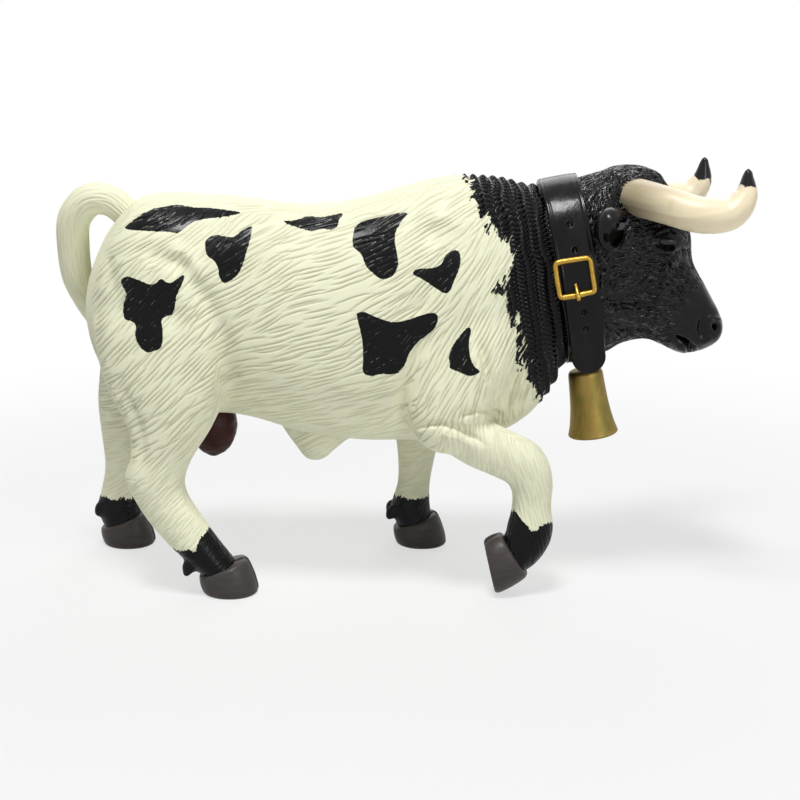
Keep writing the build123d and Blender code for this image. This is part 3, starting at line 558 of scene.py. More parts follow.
def flat_place(across, down, out=20.0):
    """Place along and height of a pixel of the side view, this far out from the middle plane."""
    right, low = across - PICTURE / 2, down - PICTURE / 2
    ahead = FOCAL_PIXELS * np.cos(CAMERA_DIP) - low * np.sin(CAMERA_DIP)
    rise = -FOCAL_PIXELS * np.sin(CAMERA_DIP) - low * np.cos(CAMERA_DIP)
    reach = (-out - CAMERA_PLACE[1]) / ahead
    return CAMERA_PLACE[0] + reach * right, CAMERA_PLACE[2] + reach * rise


def stroke_grid(marks):
    """Directions over the side of the figure. Nearer marks count more. A stroke has no head, so
    the directions are averaged as vectors of twice their angle."""
    steps = np.arange(GRID_START, -GRID_START + GRID_STEP, GRID_STEP)
    along, height = np.meshgrid(steps, steps - GRID_START, indexing="ij")
    total = np.zeros(along.shape + (2,))
    for across, down, degrees in marks:
        x, z = flat_place(across, down)
        share = 1 / ((along - x) ** 2 + (height - z) ** 2 + MARK_CORE) ** MARK_FALL
        double = np.radians(2 * degrees)
        total += share[..., None] * [np.cos(double), np.sin(double)]
    return np.arctan2(total[..., 1], total[..., 0]) / 2 % np.pi


def wanted(grid, along, height):
    """Direction at places, from the nearest cell of the grid."""
    row = np.clip(np.rint((along - GRID_START) / GRID_STEP).astype(int), 0, grid.shape[0] - 1)
    column = np.clip(np.rint(height / GRID_STEP).astype(int), 0, grid.shape[1] - 1)
    return grid[row, column]


def apart(first, second):
    """Angle between two undirected directions."""
    return np.abs((first - second + np.pi / 2) % np.pi - np.pi / 2)


coat_grid = stroke_grid(HAIR)
print("directions on a grid of", coat_grid.shape)

# %% Cuts on a plane
CUT_HALF_WIDTH, TIP_SHARE = 0.18, 0.45  # half width of a cut, and the share of it at both tips
LEAST_SPOT, SPOT_SPAN, LEAST_HALF, HALF_SPAN = 0.3, 0.4, 0.36, 0.30  # shares of a brick's length
LIFT_SPAN, BEND_SPAN = 0.6, 0.9  # shares of a brick's width
DIRECTIONS = 12
REACH_TURN, FIT_TURN = np.radians(22), np.radians(7.5)
NEIGHBOURS = np.array([[-1], [0], [1]])


def dashes(along, height, grid, length, width, seed):
    """Depth, 0 to 1, of cuts on a plane. Each brick has one cut: a bell curve across a bent line,
    tapered to both ends, with a random place, length and bend."""
    depth = np.zeros(len(along))
    here = wanted(grid, along, height)
    for number in range(DIRECTIONS):
        turn = number * np.pi / DIRECTIONS
        cosine, sine = np.cos(turn), np.sin(turn)
        near = np.flatnonzero(apart(here, turn) < REACH_TURN)
        run = along[near] * cosine + height[near] * sine
        across = height[near] * cosine - along[near] * sine
        for row in np.floor(across / width).astype(np.int64) + NEIGHBOURS:
            shift = chance(row, number, 0, seed) * length
            for column in np.floor((run - shift) / length).astype(np.int64) + NEIGHBOURS:
                spot, size, bend, lift = (chance(row, column, number, seed + k) for k in range(1, 5))
                middle = shift + (column + LEAST_SPOT + SPOT_SPAN * spot) * length
                away = (run - middle) / (length * (LEAST_HALF + HALF_SPAN * size))
                rise = LIFT_SPAN * (lift - 0.5) + BEND_SPAN * (bend - 0.5) * away**2
                line = (row + 0.5 + rise) * width
                taper = np.clip(1 - away**2, 0, 1)
                level = (row + 0.5) * width
                x = middle * cosine - level * sine
                z = middle * sine + level * cosine
                fits = apart(wanted(grid, x, z), turn) <= FIT_TURN
                half_width = CUT_HALF_WIDTH * (TIP_SHARE + (1 - TIP_SHARE) * taper)
                cut = np.exp(-(((across - line) / half_width) ** 2))
                depth[near] = np.maximum(depth[near], cut * np.sqrt(taper) * fits)
    return depth


print("cuts in", DIRECTIONS, "directions")

# %% Cuts on the body
FACES_SOME, FACES_FULL = 0.42, 0.62  # share of the normal along a plane's own direction
TOP_TURN, END_TURN = np.full((1, 1), np.radians(8)), np.full((1, 1), np.radians(82))
TOP_SHIFT, PLANE_SEEDS = 60, 40
LEAST_SHARE = 0.01
COARSE_LENGTH, COARSE_WIDTH, COARSE_SEED = 10.0, 1.0, 11
FINE_LENGTH, FINE_WIDTH, FINE_SEED = 6.5, 0.85, 31
WOBBLE_SIZE, WOBBLE_SPACING, WOBBLE_SEED, WOBBLE_REACH = 7, 40, 5, 0.4
FOREARM_BACK, FOREARM_TOP = 12, 44
FINE_LEG_TOP, FINE_LEG_FULL = 36, 30
FINE_NECK_BACK, FINE_NECK_FULL = 485, 510  # pixels across
LEG_DEPTH_SHARE, SHALLOW_TOP, DEEP_FROM = 0.55, 34, 46


def carved(points, normals, grid, length, width, seed):
    """Cuts on a surface: those of the side view on each side, and level or upright ones where the
    surface faces up or ahead."""
    x, y, z = points.T
    side, top, end = ramp(FACES_SOME, FACES_FULL, np.abs(normals[:, [1, 2, 0]])).T
    planes = [
        (side * (y < 0), x, z, grid),
        (side * (y >= 0), x, z, grid),
        (top * (1 - side), x, y + TOP_SHIFT, TOP_TURN),
        (end * (1 - side), y, z, END_TURN),
    ]
    depth = np.zeros(len(points))
    for number, (share, along, height, directions) in enumerate(planes):
        on = np.flatnonzero(share > LEAST_SHARE)
        cut = dashes(along[on], height[on], directions, length, width, seed + PLANE_SEEDS * number)
        depth[on] = np.maximum(depth[on], cut * share[on])
    return depth


normals = point_normals(skin, skin_quads)
spots = side_view(skin)
wobbled = skin + random_shift(skin, WOBBLE_SIZE, WOBBLE_SPACING, WOBBLE_SEED, WOBBLE_REACH)
coarse = carved(wobbled, normals, coat_grid, COARSE_LENGTH, COARSE_WIDTH, COARSE_SEED)
fine = carved(wobbled, normals, coat_grid, FINE_LENGTH, FINE_WIDTH, FINE_SEED)
right_forearm = (skin[:, 1] < 0) & (skin[:, 0] > FOREARM_BACK) & (skin[:, 2] < FOREARM_TOP)
low_on_the_legs = ramp(FINE_LEG_TOP, FINE_LEG_FULL, skin[:, 2])
near_the_neck = ramp(FINE_NECK_BACK, FINE_NECK_FULL, spots[:, 0])
fineness = np.clip(low_on_the_legs + right_forearm + near_the_neck, 0, 1)
leg_depth = LEG_DEPTH_SHARE + (1 - LEG_DEPTH_SHARE) * ramp(SHALLOW_TOP, DEEP_FROM, skin[:, 2])
cut = coarse * (1 - fineness) + fine * fineness * leg_depth
print("share of the coat that is cut", round(float(cut.mean()), 3))

# %% [markdown]
# ## Paint plan
# The black patches are flat paint with crisp outlines. Each is a polygon of pixels read from the
# photograph. The plan keeps one number per point, the distance in millimetres to the nearest
# outline, positive inside black, so the material can draw a sharp edge between points.

# %% Patches
RIGHT_PATCHES = [
    [(125, 227), (133, 220), (143, 213), (159, 207), (179, 205), (193, 207), (222, 209), (241, 213),
     (222, 217), (199, 220), (189, 225), (178, 233), (169, 232), (146, 231), (130, 230)],
    [(205, 245), (207, 239), (216, 235), (233, 237), (242, 230), (250, 226), (252, 231), (247, 250),
     (241, 269), (233, 279), (224, 283), (219, 276), (218, 268), (214, 261), (207, 255)],
    [(121, 283), (123, 278), (130, 277), (149, 284), (156, 283), (161, 279), (170, 283), (183, 275),
     (183, 282), (177, 295), (173, 313), (162, 319), (163, 334), (161, 347), (154, 351), (146, 352),
     (138, 344), (135, 334), (136, 326), (131, 321), (125, 319), (123, 309), (125, 298), (126, 293)],
    [(284, 221), (295, 220), (308, 216), (321, 217), (342, 213), (339, 220), (337, 227), (329, 230),
     (321, 228), (311, 231), (300, 228), (290, 225)],
    [(353, 246), (354, 230), (358, 224), (369, 219), (392, 214), (407, 213), (402, 221), (396, 231),
     (395, 243), (398, 259), (397, 269), (391, 277), (381, 279), (374, 274), (366, 266), (361, 254)],
    [(413, 274), (417, 269), (432, 268), (441, 264), (447, 254), (455, 250), (460, 254), (460, 266),
     (455, 279), (450, 291), (444, 293), (434, 287), (422, 279)],
    [(357, 317), (358, 313), (364, 312), (376, 317), (392, 322), (407, 320), (422, 315), (434, 313),
     (438, 319), (434, 329), (422, 339), (416, 344), (409, 354), (404, 366), (396, 374), (382, 374),
     (371, 376), (363, 372), (363, 356), (362, 339)],
    [(450, 364), (449, 357), (452, 347), (459, 337), (467, 328), (471, 330), (469, 342), (470, 356),
     (474, 366), (480, 372), (470, 376), (459, 372), (450, 368)],
]
LEFT_PATCHES = [
    [(148, 262), (160, 244), (184, 236), (205, 243), (208, 262), (196, 280), (186, 300), (172, 306),
     (160, 296), (158, 280)],
    [(250, 236), (272, 226), (305, 224), (322, 232), (318, 250), (300, 258), (292, 276), (276, 282),
     (262, 270), (258, 252)],
    [(286, 330), (300, 316), (322, 318), (340, 330), (362, 326), (372, 340), (362, 360), (342, 366),
     (330, 384), (310, 382), (296, 366)],
    [(372, 246), (392, 236), (414, 242), (420, 262), (408, 278), (404, 296), (390, 300), (380, 284)],
    [(428, 330), (446, 316), (464, 322), (468, 342), (456, 356), (450, 374), (436, 372), (430, 352)],
    [(130, 338), (146, 330), (160, 340), (158, 362), (146, 380), (134, 372)],
]
print(len(RIGHT_PATCHES), "patches on the right,", len(LEFT_PATCHES), "on the left")

# %% Distance to the patches
NO_PAINT = -9.0
PATCH_STEPS = 5
SEAM_LAP, PATCH_FACING = 0.5, 0.15
TINY = 1e-9


def signed_distance(spots, outline):
    """Pixels to a closed outline, positive inside. A spot is inside if a level line from it
    crosses the outline an odd number of times."""
    corners = np.array(outline, float)
    inside = np.zeros(len(spots), bool)
    for (x0, y0), (x1, y1) in zip(corners, np.roll(corners, -1, 0)):
        spans = (y0 > spots[:, 1]) != (y1 > spots[:, 1])
        reach = x0 + (spots[:, 1] - y0) * (x1 - x0) / (y1 - y0 if y1 != y0 else TINY)
        inside ^= spans & (spots[:, 0] < reach)
    away = line_distance(spots, outline + outline[:1])
    return np.where(inside, away, -away)


def rounded(outline, steps):
    """Smooth closed outline through the corners. Two corners more at each end keep it closed."""
    loop = np.array(outline[-2:] + outline + outline[:2], float)
    return [tuple(spot) for spot in smooth_rows(loop, steps)[2 * steps:-steps - 1]]


paint = np.full(len(skin), NO_PAINT)
on_sides = ((RIGHT_PATCHES, skin[:, 1] < SEAM_LAP), (LEFT_PATCHES, skin[:, 1] > -SEAM_LAP))
for patches, here in on_sides:
    seen = here & (np.abs(normals[:, 1]) + np.maximum(normals[:, 2], 0) > PATCH_FACING)
    for outline in patches:
        inside = signed_distance(spots[seen], rounded(outline, PATCH_STEPS)) / PIXELS_PER_MM
        paint[seen] = np.maximum(paint[seen], inside)
print("black share after the patches", round(float((paint > 0).mean()), 3))

# %% [markdown]
# The black of the neck and of the socks ends in a torn edge, because the brush slid off the high
# points of the hair. The edge is a line read from the photograph, moved to and fro by random
# fields that are longer along the hair than across it.

# %% Neck edge and socks
NECK_EDGE = [
    (462, 172), (470, 192), (476, 209), (488, 226), (501, 240), (514, 255), (504, 272), (496, 290),
    (504, 303), (512, 315), (516, 330), (518, 345), (520, 370), (530, 386), (541, 400),
]
NECK_LOWEST = 420
RIGHT_HIND_SOCK = [(160, 545), (175, 549), (196, 551), (200, 540), (209, 527), (225, 520)]
RIGHT_FORE_SOCK = [(505, 508), (514, 511), (532, 530), (552, 522), (560, 520)]
LEFT_SOCK_HEIGHT, SOCK_LIMIT = 13.8, 26
LONG_TEAR, SHORT_TEAR, SOCK_TEAR = (1.5, 1.5, 3.4), (0.8, 0.8, 1.7), (1.3, 1.3, 4.0)
LONG_REACH, SHORT_REACH, SOCK_REACH = 1.9, 1.3, 0.6
LONG_SEED, SHORT_SEED, SOCK_SEED = 71, 72, 73
GROOVE_PULL = 2.2  # how far a cut holds the black back from the edge

edge_x, edge_y = np.array(NECK_EDGE, float).T
edge_across = np.interp(spots[:, 1], edge_y, edge_x)
ragged = random_field(skin / LONG_TEAR, LONG_SEED) * LONG_REACH
ragged = ragged + random_field(skin / SHORT_TEAR, SHORT_SEED) * SHORT_REACH
neck = (spots[:, 0] - edge_across) / PIXELS_PER_MM + ragged - GROOVE_PULL * cut
neck[spots[:, 1] > NECK_LOWEST] = NO_PAINT
teeth = random_field(skin / SOCK_TEAR, SOCK_SEED) * SOCK_REACH
sock = np.where(skin[:, 1] > 0, LEFT_SOCK_HEIGHT - skin[:, 2], NO_PAINT)
for line, here in ((RIGHT_HIND_SOCK, skin[:, 0] < 0), (RIGHT_FORE_SOCK, skin[:, 0] > 0)):
    low = here & (skin[:, 1] < 0) & (skin[:, 2] < SOCK_LIMIT)
    line_x, line_y = np.array(line, float).T
    level = np.interp(spots[low, 0], line_x, line_y)
    sock[low] = (spots[low, 1] - level) / PIXELS_PER_MM
ragged_edge = ramp(-6, -2, neck) + ramp(-5, -1, sock)
paint = np.maximum.reduce([paint, neck, sock + teeth])
print("black share", round(float((paint > 0).mean()), 3))

# %% [markdown]
# The neck is cut differently: columns of tight curls, side by side like knitting, that run
# parallel to the strap. Along the neck's axis they repeat every 2.3 mm, and round it every 1.05 mm,
# leaning one way in one column and the other way in the next. Two sine waves give the rope of each
# column and the loops on it. The same step sinks the hair cuts of the rest of the coat.

# %% Curls of the neck and the final cut
COLUMN, CURL, NECK_RADIUS, CURL_LEAN = 2.3, 1.05, 18, 0.7
ROPE_HEIGHT, LOOP_HEIGHT = 0.22, 0.36
CUT_DEPTH, RIDGE_SHARE = 0.36, 0.12  # the skin between the cuts rises by that share
DRIFT_SIZE, DRIFT_REACH, DRIFT_SEED = 5, 0.5, 91
LOWEST_SKIN = 0.2
back_from_strap = -(skin - NECK_CENTRE) @ NECK_AXIS - SEAT
below = (skin - NECK_CENTRE) @ NECK_UP * -1
round_neck = np.arctan2(np.abs(skin[:, 1]), below) * NECK_RADIUS
drift = random_field(skin / DRIFT_SIZE, DRIFT_SEED) * DRIFT_REACH
column_phase = (back_from_strap + drift) / COLUMN
lean_way = np.where(np.floor(column_phase) % 2 == 0, 1, -1)
curl_phase = round_neck / CURL + lean_way * (column_phase % 1) * CURL_LEAN + drift
rope = ROPE_HEIGHT * np.sin(2 * np.pi * (column_phase - 0.25))
loops = LOOP_HEIGHT * np.sin(2 * np.pi * curl_phase) * np.abs(np.sin(np.pi * column_phase))
curled = ramp(-0.8, 1.2, neck)
push = CUT_DEPTH * (RIDGE_SHARE - cut) * (1 - curled) + (rope + loops) * curled
skin = skin + normals * push[:, None]
skin[:, 2] = np.maximum(skin[:, 2], LOWEST_SKIN)
normals = point_normals(skin, skin_quads)
print("carved", len(skin), "points")

# %% [markdown]
# The casting has two halves, and each is shown in pieces along its length, with the lower legs
# apart, to keep the meshes light. Points on a cut keep the normals of the whole skin, so no seam
# shows. Each piece is closed out of sight: a wall goes straight in from every cut edge, and a fan
# joins the wall to a point inside, for a leg's cut the middle of that cut.

# %% Cut the skin into the pieces of the two halves
LEG_CUT, CUT_REACH, WALL = 24.0, 3.0, 2.0
LEGS_BETWEEN, HIND_FRONT, MIDDLE_FRONT, NECK_BACK, NECK_FOOT = -18, -34, -3, 26, 46
CORE_HEIGHT = 66.0
CORES = {  # place along of the point that a span's fans meet in
    "hind": -44.0, "middle": -19.0, "fore": 12.0, "neck": 38.0, "hind_leg": -60.0, "fore_leg": 12.0,
}


def cut_piece(name, chosen, core):
    """The chosen faces as a piece. Every edge with one face only gets a wall and a fan."""
    used, local = np.unique(skin_quads[chosen], return_inverse=True)
    local = local.reshape(-1, 4)
    edges = np.stack([local.ravel(), np.roll(local, -1, 1).ravel()], 1)
    forward = edges[:, 0] * len(used) + edges[:, 1]
    backward = edges[:, 1] * len(used) + edges[:, 0]
    open_edges = edges[~np.isin(forward, backward)]
    rim, rim_numbers = np.unique(open_edges, return_inverse=True)
    rim_points, wall_edges = used[rim], len(used) + rim_numbers.reshape(-1, 2)
    walls = np.column_stack([open_edges[:, ::-1], wall_edges])
    edge_places = skin[used][open_edges].mean(1)
    at_leg = np.abs(edge_places[:, 2] - LEG_CUT) < CUT_REACH
    kinds, kind_numbers = np.unique(at_leg, return_inverse=True)
    cores = np.array([edge_places[at_leg].mean(0) if kind else core for kind in kinds])
    fans = np.column_stack([wall_edges[:, ::-1], len(used) + len(rim) + kind_numbers])
    points = np.vstack([skin[used], skin[rim_points] - normals[rim_points] * WALL, cores])
    owners = np.concatenate([used, rim_points, rim_points[:len(cores)]])
    print(name, 2 * (len(local) + len(walls)) + len(fans), "triangles")
    return add_piece(
        name, points, np.vstack([local, walls]), fans, normals[owners], open_edges,
        black=paint[owners], cut=cut[owners], curled=curled[owners], ragged=ragged_edge[owners],
    )


along, across, height = skin[skin_quads].mean(1).T
low = height < LEG_CUT
cases = [low & (along < LEGS_BETWEEN), low, along < HIND_FRONT, along < MIDDLE_FRONT]
cases.append((along > NECK_BACK) & (height > NECK_FOOT))
span = np.select(cases, ["hind_leg", "fore_leg", "hind", "middle", "neck"], "fore")
hide_pieces = []
for side_name, side in (("right", across < 0), ("left", across >= 0)):
    for span_name, core_along in CORES.items():
        core = (core_along, 0, CORE_HEIGHT)
        piece = cut_piece(f"{side_name}_{span_name}_hide", side & (span == span_name), core)
        hide_pieces.append((piece, f"{side_name}_body_half"))
print(len(hide_pieces), "pieces of the two halves")

# %% [markdown]
# ## Materials
# Paint on a casting has two scales: broad, faint differences of tone, and fine marks that follow
# the carving. One class wraps a socket, so that shader maths reads like arithmetic.


# %% Shader arithmetic
class Value:
    """A socket of a finish. Arithmetic on it adds Math nodes to that finish."""

    def __init__(self, finish, socket):
        self.finish, self.socket = finish, socket

    def math(self, operation, first, second):
        """One Math node on two values or numbers."""
        return self.finish.node("ShaderNodeMath", {"operation": operation}, {0: first, 1: second})

    def __add__(self, other):
        return self.math("ADD", self, other)

    def __sub__(self, other):
        return self.math("SUBTRACT", self, other)

    def __rsub__(self, other):
        return self.math("SUBTRACT", other, self)

    def __mul__(self, other):
        return self.math("MULTIPLY", self, other)

    __radd__, __rmul__ = __add__, __mul__


print("operators", [name for name in vars(Value) if name.startswith("__r")])


# %% A finish
class Finish:
    """A new node material with one Principled shader, and the means to add nodes to it."""

    def __init__(self, name, **sockets):
        self.material = bpy.data.materials.new(name)
        self.material.use_nodes = True
        self.tree = self.material.node_tree
        self.shader = self.tree.nodes["Principled BSDF"]
        self.set(**sockets)
        self.place = self.node("ShaderNodeTexCoord", {}, {}, "Object")

    def node(self, kind, settings, values, out=0):
        """Any node: its settings first, then the values or links of its sockets."""
        made = self.tree.nodes.new(kind)
        for key, value in settings.items():
            setattr(made, key, value)
        for key, value in values.items():
            self.feed(made.inputs[key], value)
        return Value(self, made.outputs[out])

    def feed(self, socket, value):
        """Links a value to a socket, or writes a number or colour on it."""
        if isinstance(value, Value):
            self.tree.links.new(value.socket, socket)
        else:
            socket.default_value = value

    def set(self, **sockets):
        """Feeds sockets of the shader, named in small letters with underscores."""
        for key, value in sockets.items():
            label = key.replace("_", " ").title().replace("Ior", "IOR")
            self.feed(self.shader.inputs[label], value)

    def attribute(self, name):
        """Number that the mesh keeps at each point."""
        return self.node("ShaderNodeAttribute", {"attribute_name": name}, {}, "Fac")

    def noise(self, size, turn=(0, 0, 0), detail=2.0, seed=0.0):
        """Noise from 0 to 1 whose blobs have these sizes, in millimetres, along turned axes."""
        as_point = {"vector_type": "POINT"}
        scale = tuple(1 / (length * MM) for length in size)
        spot = self.node("ShaderNodeMapping", as_point, {"Vector": self.place, "Rotation": turn})
        moved = {"Vector": spot, "Scale": scale, "Location": (seed, seed, 0)}
        spot = self.node("ShaderNodeMapping", as_point, moved)
        return self.node("ShaderNodeTexNoise", {}, {"Vector": spot, "Scale": 1.0, "Detail": detail})

    def ramp(self, value, low, high):
        """0 below low, 1 above high, with an S-curve between."""
        settings = {"interpolation_type": "SMOOTHSTEP"}
        return self.node("ShaderNodeMapRange", settings, {0: value, 1: low, 2: high, 3: 0.0, 4: 1.0})

    def mix(self, share, first, second):
        """Colour this share of the way from the first to the second."""
        return self.node("ShaderNodeMix", {"data_type": "RGBA"}, {0: share, 6: first, 7: second}, 2)

    def bump(self, height, depth):
        """Bump from a height of 0 to 1 that stands for this many millimetres."""
        values = {"Height": height, "Distance": depth * MM}
        self.feed(self.shader.inputs["Normal"], self.node("ShaderNodeBump", {}, values))


def tone(red, green, blue):
    """Linear colour from the 0 to 255 values of a picture."""
    share = np.array([red, green, blue]) / 255
    linear = np.where(share < 0.04045, share / 12.92, ((share + 0.055) / 1.055) ** 2.4)
    return (*linear.tolist(), 1.0)


def dress(piece, finish, node, body="figure"):
    """Paints a piece, hangs it on the empty of the body that carries it, and hides the node that it
    stands for.
    """
    piece.data.materials.append(finish.material)
    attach(piece, body)
    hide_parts(node)


print("middle grey", np.round(tone(128, 128, 128)[:3], 3))

# %% [markdown]
# The coat is a cream lacquer with a thin olive wash in the grooves, and the grooves are darkened
# further as painted shade of the cuts. The black is brushed over it: it wears off the edges of the
# cuts, and its torn edges get fine nicks. A picture could hold all this, but points carry the distance
# to the black, so the edge stays sharp at any size.

# %% The painted coat
# The second colour is the olive of the wash and of the painted shade in the cuts.
CREAM, WASH_AND_GROOVE_SHADE = tone(241, 241, 212), tone(134, 130, 92)
COAT_BLACK, WORN_BLACK = tone(6, 6, 7), tone(190, 190, 172)
HAIR_TURN = (0, np.radians(32), 0)
EDGE_HALF = 0.06
hide = Finish("painted_hide", specular_ior_level=0.12, coat_roughness=0.10)
groove = hide.attribute("cut")
nick = hide.noise((0.55, 0.55, 0.9), detail=3, seed=3.1) - 0.5
nicks = nick * (hide.attribute("ragged") * 2.6 + 0.35)
black = hide.ramp(hide.attribute("black") + nicks, -EDGE_HALF, EDGE_HALF)
cloud = hide.noise((22, 22, 22), detail=3)
hair = hide.noise((3.4, 0.4, 0.4), HAIR_TURN, 3)
rubbed = hide.ramp(hide.noise((1.3, 1.3, 1.3), detail=2, seed=7.3), 0.5, 0.62)
scratch = hide.ramp(groove, 0.55, 0.95) * rubbed
worn = scratch * (1 - hide.ramp(hide.attribute("curled"), 0.2, 0.6)) * 0.6
# Painted shade: the colour darkens where the cuts are deepest, on top of a thin olive wash; the cloud
# and the hair add random tone.
wash_and_painted_shade = groove * 0.32 + hide.ramp(cloud, 0.5, 0.8) * 0.10 + hide.ramp(hair, 0.58, 0.8) * 0.08
coat = hide.mix(wash_and_painted_shade, CREAM, WASH_AND_GROOVE_SHADE)
ink = hide.mix(worn, COAT_BLACK, WORN_BLACK)
hide.set(base_color=hide.mix(black, coat, ink), coat_weight=black * 0.08)
hide.set(roughness=0.46 - black * 0.25 + cloud * 0.06)
hide.bump(hair, 0.06)
for piece, node in hide_pieces:
    dress(piece, hide, node)
print("coat of", len(hide.tree.nodes), "nodes")

# %% [markdown]
# ## Hooves
# The hooves are painted part of the casting, but their edge is crisp, so each is a surface of its
# own: an oval wall that narrows and moves back towards the top, with a notch at the toe where the
# claw is split, and an upper edge that slopes down to the heel.

# %% Hooves
HOOF_HALF_LENGTH, HOOF_HALF_WIDTH = 6.9, 6.3
TOE_HEIGHT, HEEL_HEIGHT, HOOF_SETBACK = 8.8, 4.8, 1.9
TOE_NOTCH, TOE_HALF_ANGLE = 0.34, 0.075
HEEL_NOTCH, HEEL_HALF_ANGLE = 0.16, 0.16
HOOVES = {  # side, sole's place along and height, lean of the hoof
    "right_hind_hoof": (-1, place(-0.242), 0.0, 0.0),
    "left_hind_hoof": (1, place(-0.433), 0.0, 0.0),
    "left_fore_hoof": (1, place(0.043), 0.0, 0.0),
    "right_fore_hoof": (-1, place(0.139), 6.3, -77.0),
}


def hoof_rings(levels=26, around=220):
    """Hoof with its toe along +x: ovals with a bell-shaped notch at the toe and a smaller one at
    the heel, drawn in at both rims, on a top that is tilted from toe to heel."""
    level = np.linspace(0, 1, levels)[:, None]
    angle = np.linspace(-np.pi, np.pi, around, endpoint=False)
    rim = 1 - 0.10 * np.exp(-level / 0.05) - 0.10 * np.exp(-(1 - level) / 0.04)
    belly = 1 - 0.13 * level + 0.05 * np.sin(np.pi * level)
    toe = TOE_NOTCH * np.exp(-((angle / TOE_HALF_ANGLE) ** 2)) * (1 - 0.3 * level)
    from_heel = np.abs(angle) - np.pi
    heel = HEEL_NOTCH * np.exp(-((from_heel / HEEL_HALF_ANGLE) ** 2)) * (1 - level)
    notch = 1 - toe - heel
    blunt = np.abs(np.cos(angle)) ** 0.9 * np.sign(np.cos(angle))
    x = HOOF_HALF_LENGTH * rim * belly * notch * blunt - HOOF_SETBACK * level
    y = HOOF_HALF_WIDTH * rim * belly * np.sin(angle) * (0.5 + 0.5 * notch)
    z = level * (HEEL_HEIGHT + (TOE_HEIGHT - HEEL_HEIGHT) * (1 + np.cos(angle)) / 2)
    return np.stack([x, y, z], -1)


hoof_paint = Finish("hoof_paint", specular_ior_level=0.20)
grain = hoof_paint.noise((6, 6, 0.9), detail=3)
hoof_grey = hoof_paint.mix(grain, tone(57, 53, 52), tone(75, 70, 68))
hoof_paint.set(base_color=hoof_grey, roughness=0.30 + grain * 0.16)
hoof_paint.bump(grain, 0.12)
own = hoof_rings()
for name, (side, along, height, lean) in HOOVES.items():
    turn = np.radians(lean)
    x = along + own[..., 0] * np.cos(turn) - own[..., 2] * np.sin(turn)
    z = height + own[..., 0] * np.sin(turn) + own[..., 2] * np.cos(turn)
    rings = np.stack([x, side * HALF_STANCE + own[..., 1], np.maximum(z, 0)], -1)
    node = "right_body_half" if side < 0 else "left_body_half"
    dress(add_piece(name, *closed_tube(rings)), hoof_paint, node)
print(len(HOOVES), "hooves")

# %% [markdown]
# ## Tail
# The tail is a separate moulding. It arches back from the rump, drops and swings to the left
# thigh. It is a tube along a path, and hair is cut along it, deeper in the tuft.


# %% Tubes along a path
def path_frame(path, guide):
    """Two directions across a path at each of its points, held steady by a guide direction."""
    ahead = unit(np.gradient(path, axis=0))
    side = unit(guide - (ahead @ guide)[:, None] * ahead)
    return side, np.cross(ahead, side)


def path_rings(path, radius, guide, around):
    """Rings across a path. The radius is an array (place on path, place round it)."""
    side, up = path_frame(path, np.asarray(guide, float))
    angle = round_angles(around)
    ring = side[:, None] * np.cos(angle)[None, :, None] + up[:, None] * np.sin(angle)[None, :, None]
    return path[:, None] + ring * radius[..., None]


def path_length(path):
    """Length of a path from its start to each of its points."""
    return np.concatenate([[0], np.cumsum(np.linalg.norm(np.diff(path, axis=0), axis=1))])


print("path helpers ready")

# %% Tail
TAIL = [  # place along, share of the half stance, height, radius in millimetres
    (-0.388, 0.00, 0.905, 3.5), (-0.417, 0.00, 0.944, 3.85), (-0.448, 0.02, 0.944, 4.0),
    (-0.473, 0.09, 0.898, 4.0), (-0.479, 0.18, 0.830, 3.95), (-0.478, 0.27, 0.755, 3.8),
    (-0.470, 0.39, 0.700, 3.5), (-0.460, 0.60, 0.645, 3.2), (-0.446, 0.90, 0.590, 3.1),
    (-0.428, 1.16, 0.530, 3.5), (-0.414, 1.32, 0.465, 3.7), (-0.404, 1.38, 0.405, 2.6),
    (-0.397, 1.39, 0.365, 0.6),
]
TAIL_STEPS, TAIL_AROUND, TAIL_RADIUS = 22, 120, 3.8
TUFT_START, TUFT_FULL = 56, 70
HAIR_DEPTH, LOCK_DEPTH, LEAST_RADIUS = 0.25, 0.45, 0.15
TAIL_HAIRS, TAIL_LOCKS = (8.0, 1.0, 51), (15.0, 2.0, 57)  # length, width and seed of the cuts
# The tail's cut only darkens its colour: it carries the wash and the painted shade of the grooves.
PLAIN_SHARE = 0.3  # how strongly the hairs above the tuft take the wash
tail_table = smooth_rows(TAIL, TAIL_STEPS)
along, out, height, thickness = tail_table.T
tail_path = np.stack([place(along), HALF_STANCE * out, WITHERS * height], 1)
girth = round_angles(TAIL_AROUND) * TAIL_RADIUS
run, around = np.broadcast_arrays(path_length(tail_path)[:, None], girth)
straight = np.zeros((1, 1))
hairs = dashes(run.ravel(), around.ravel(), straight, *TAIL_HAIRS).reshape(run.shape)
locks = dashes(run.ravel(), around.ravel(), straight, *TAIL_LOCKS).reshape(run.shape)
tuft = ramp(TUFT_START, TUFT_FULL, run)
tail_cut = np.maximum(hairs * (PLAIN_SHARE + (1 - PLAIN_SHARE) * tuft), locks * tuft)
radius = thickness[:, None] - HAIR_DEPTH * hairs - LOCK_DEPTH * tuft * locks
rings = path_rings(tail_path, np.maximum(radius, LEAST_RADIUS), (0, 1, 0), TAIL_AROUND)
points, quads, fans = closed_tube(rings)
plain = np.zeros(len(points))
tail = add_piece(
    "tail_skin", points, quads, fans, black=plain + NO_PAINT,
    cut=np.append(tail_cut.ravel(), np.zeros(2)), curled=plain, ragged=plain,
)
dress(tail, hide, "tail")
print("tail", round(float(run[-1, 0]), 1), "mm long")

# %% [markdown]
# ## Scrotum
# An insert of dark red-brown, pegged in from below: an egg with a shallow furrow down its middle and
# fine wrinkles. A ball of rings is pushed along its own directions, so both are in the mesh.

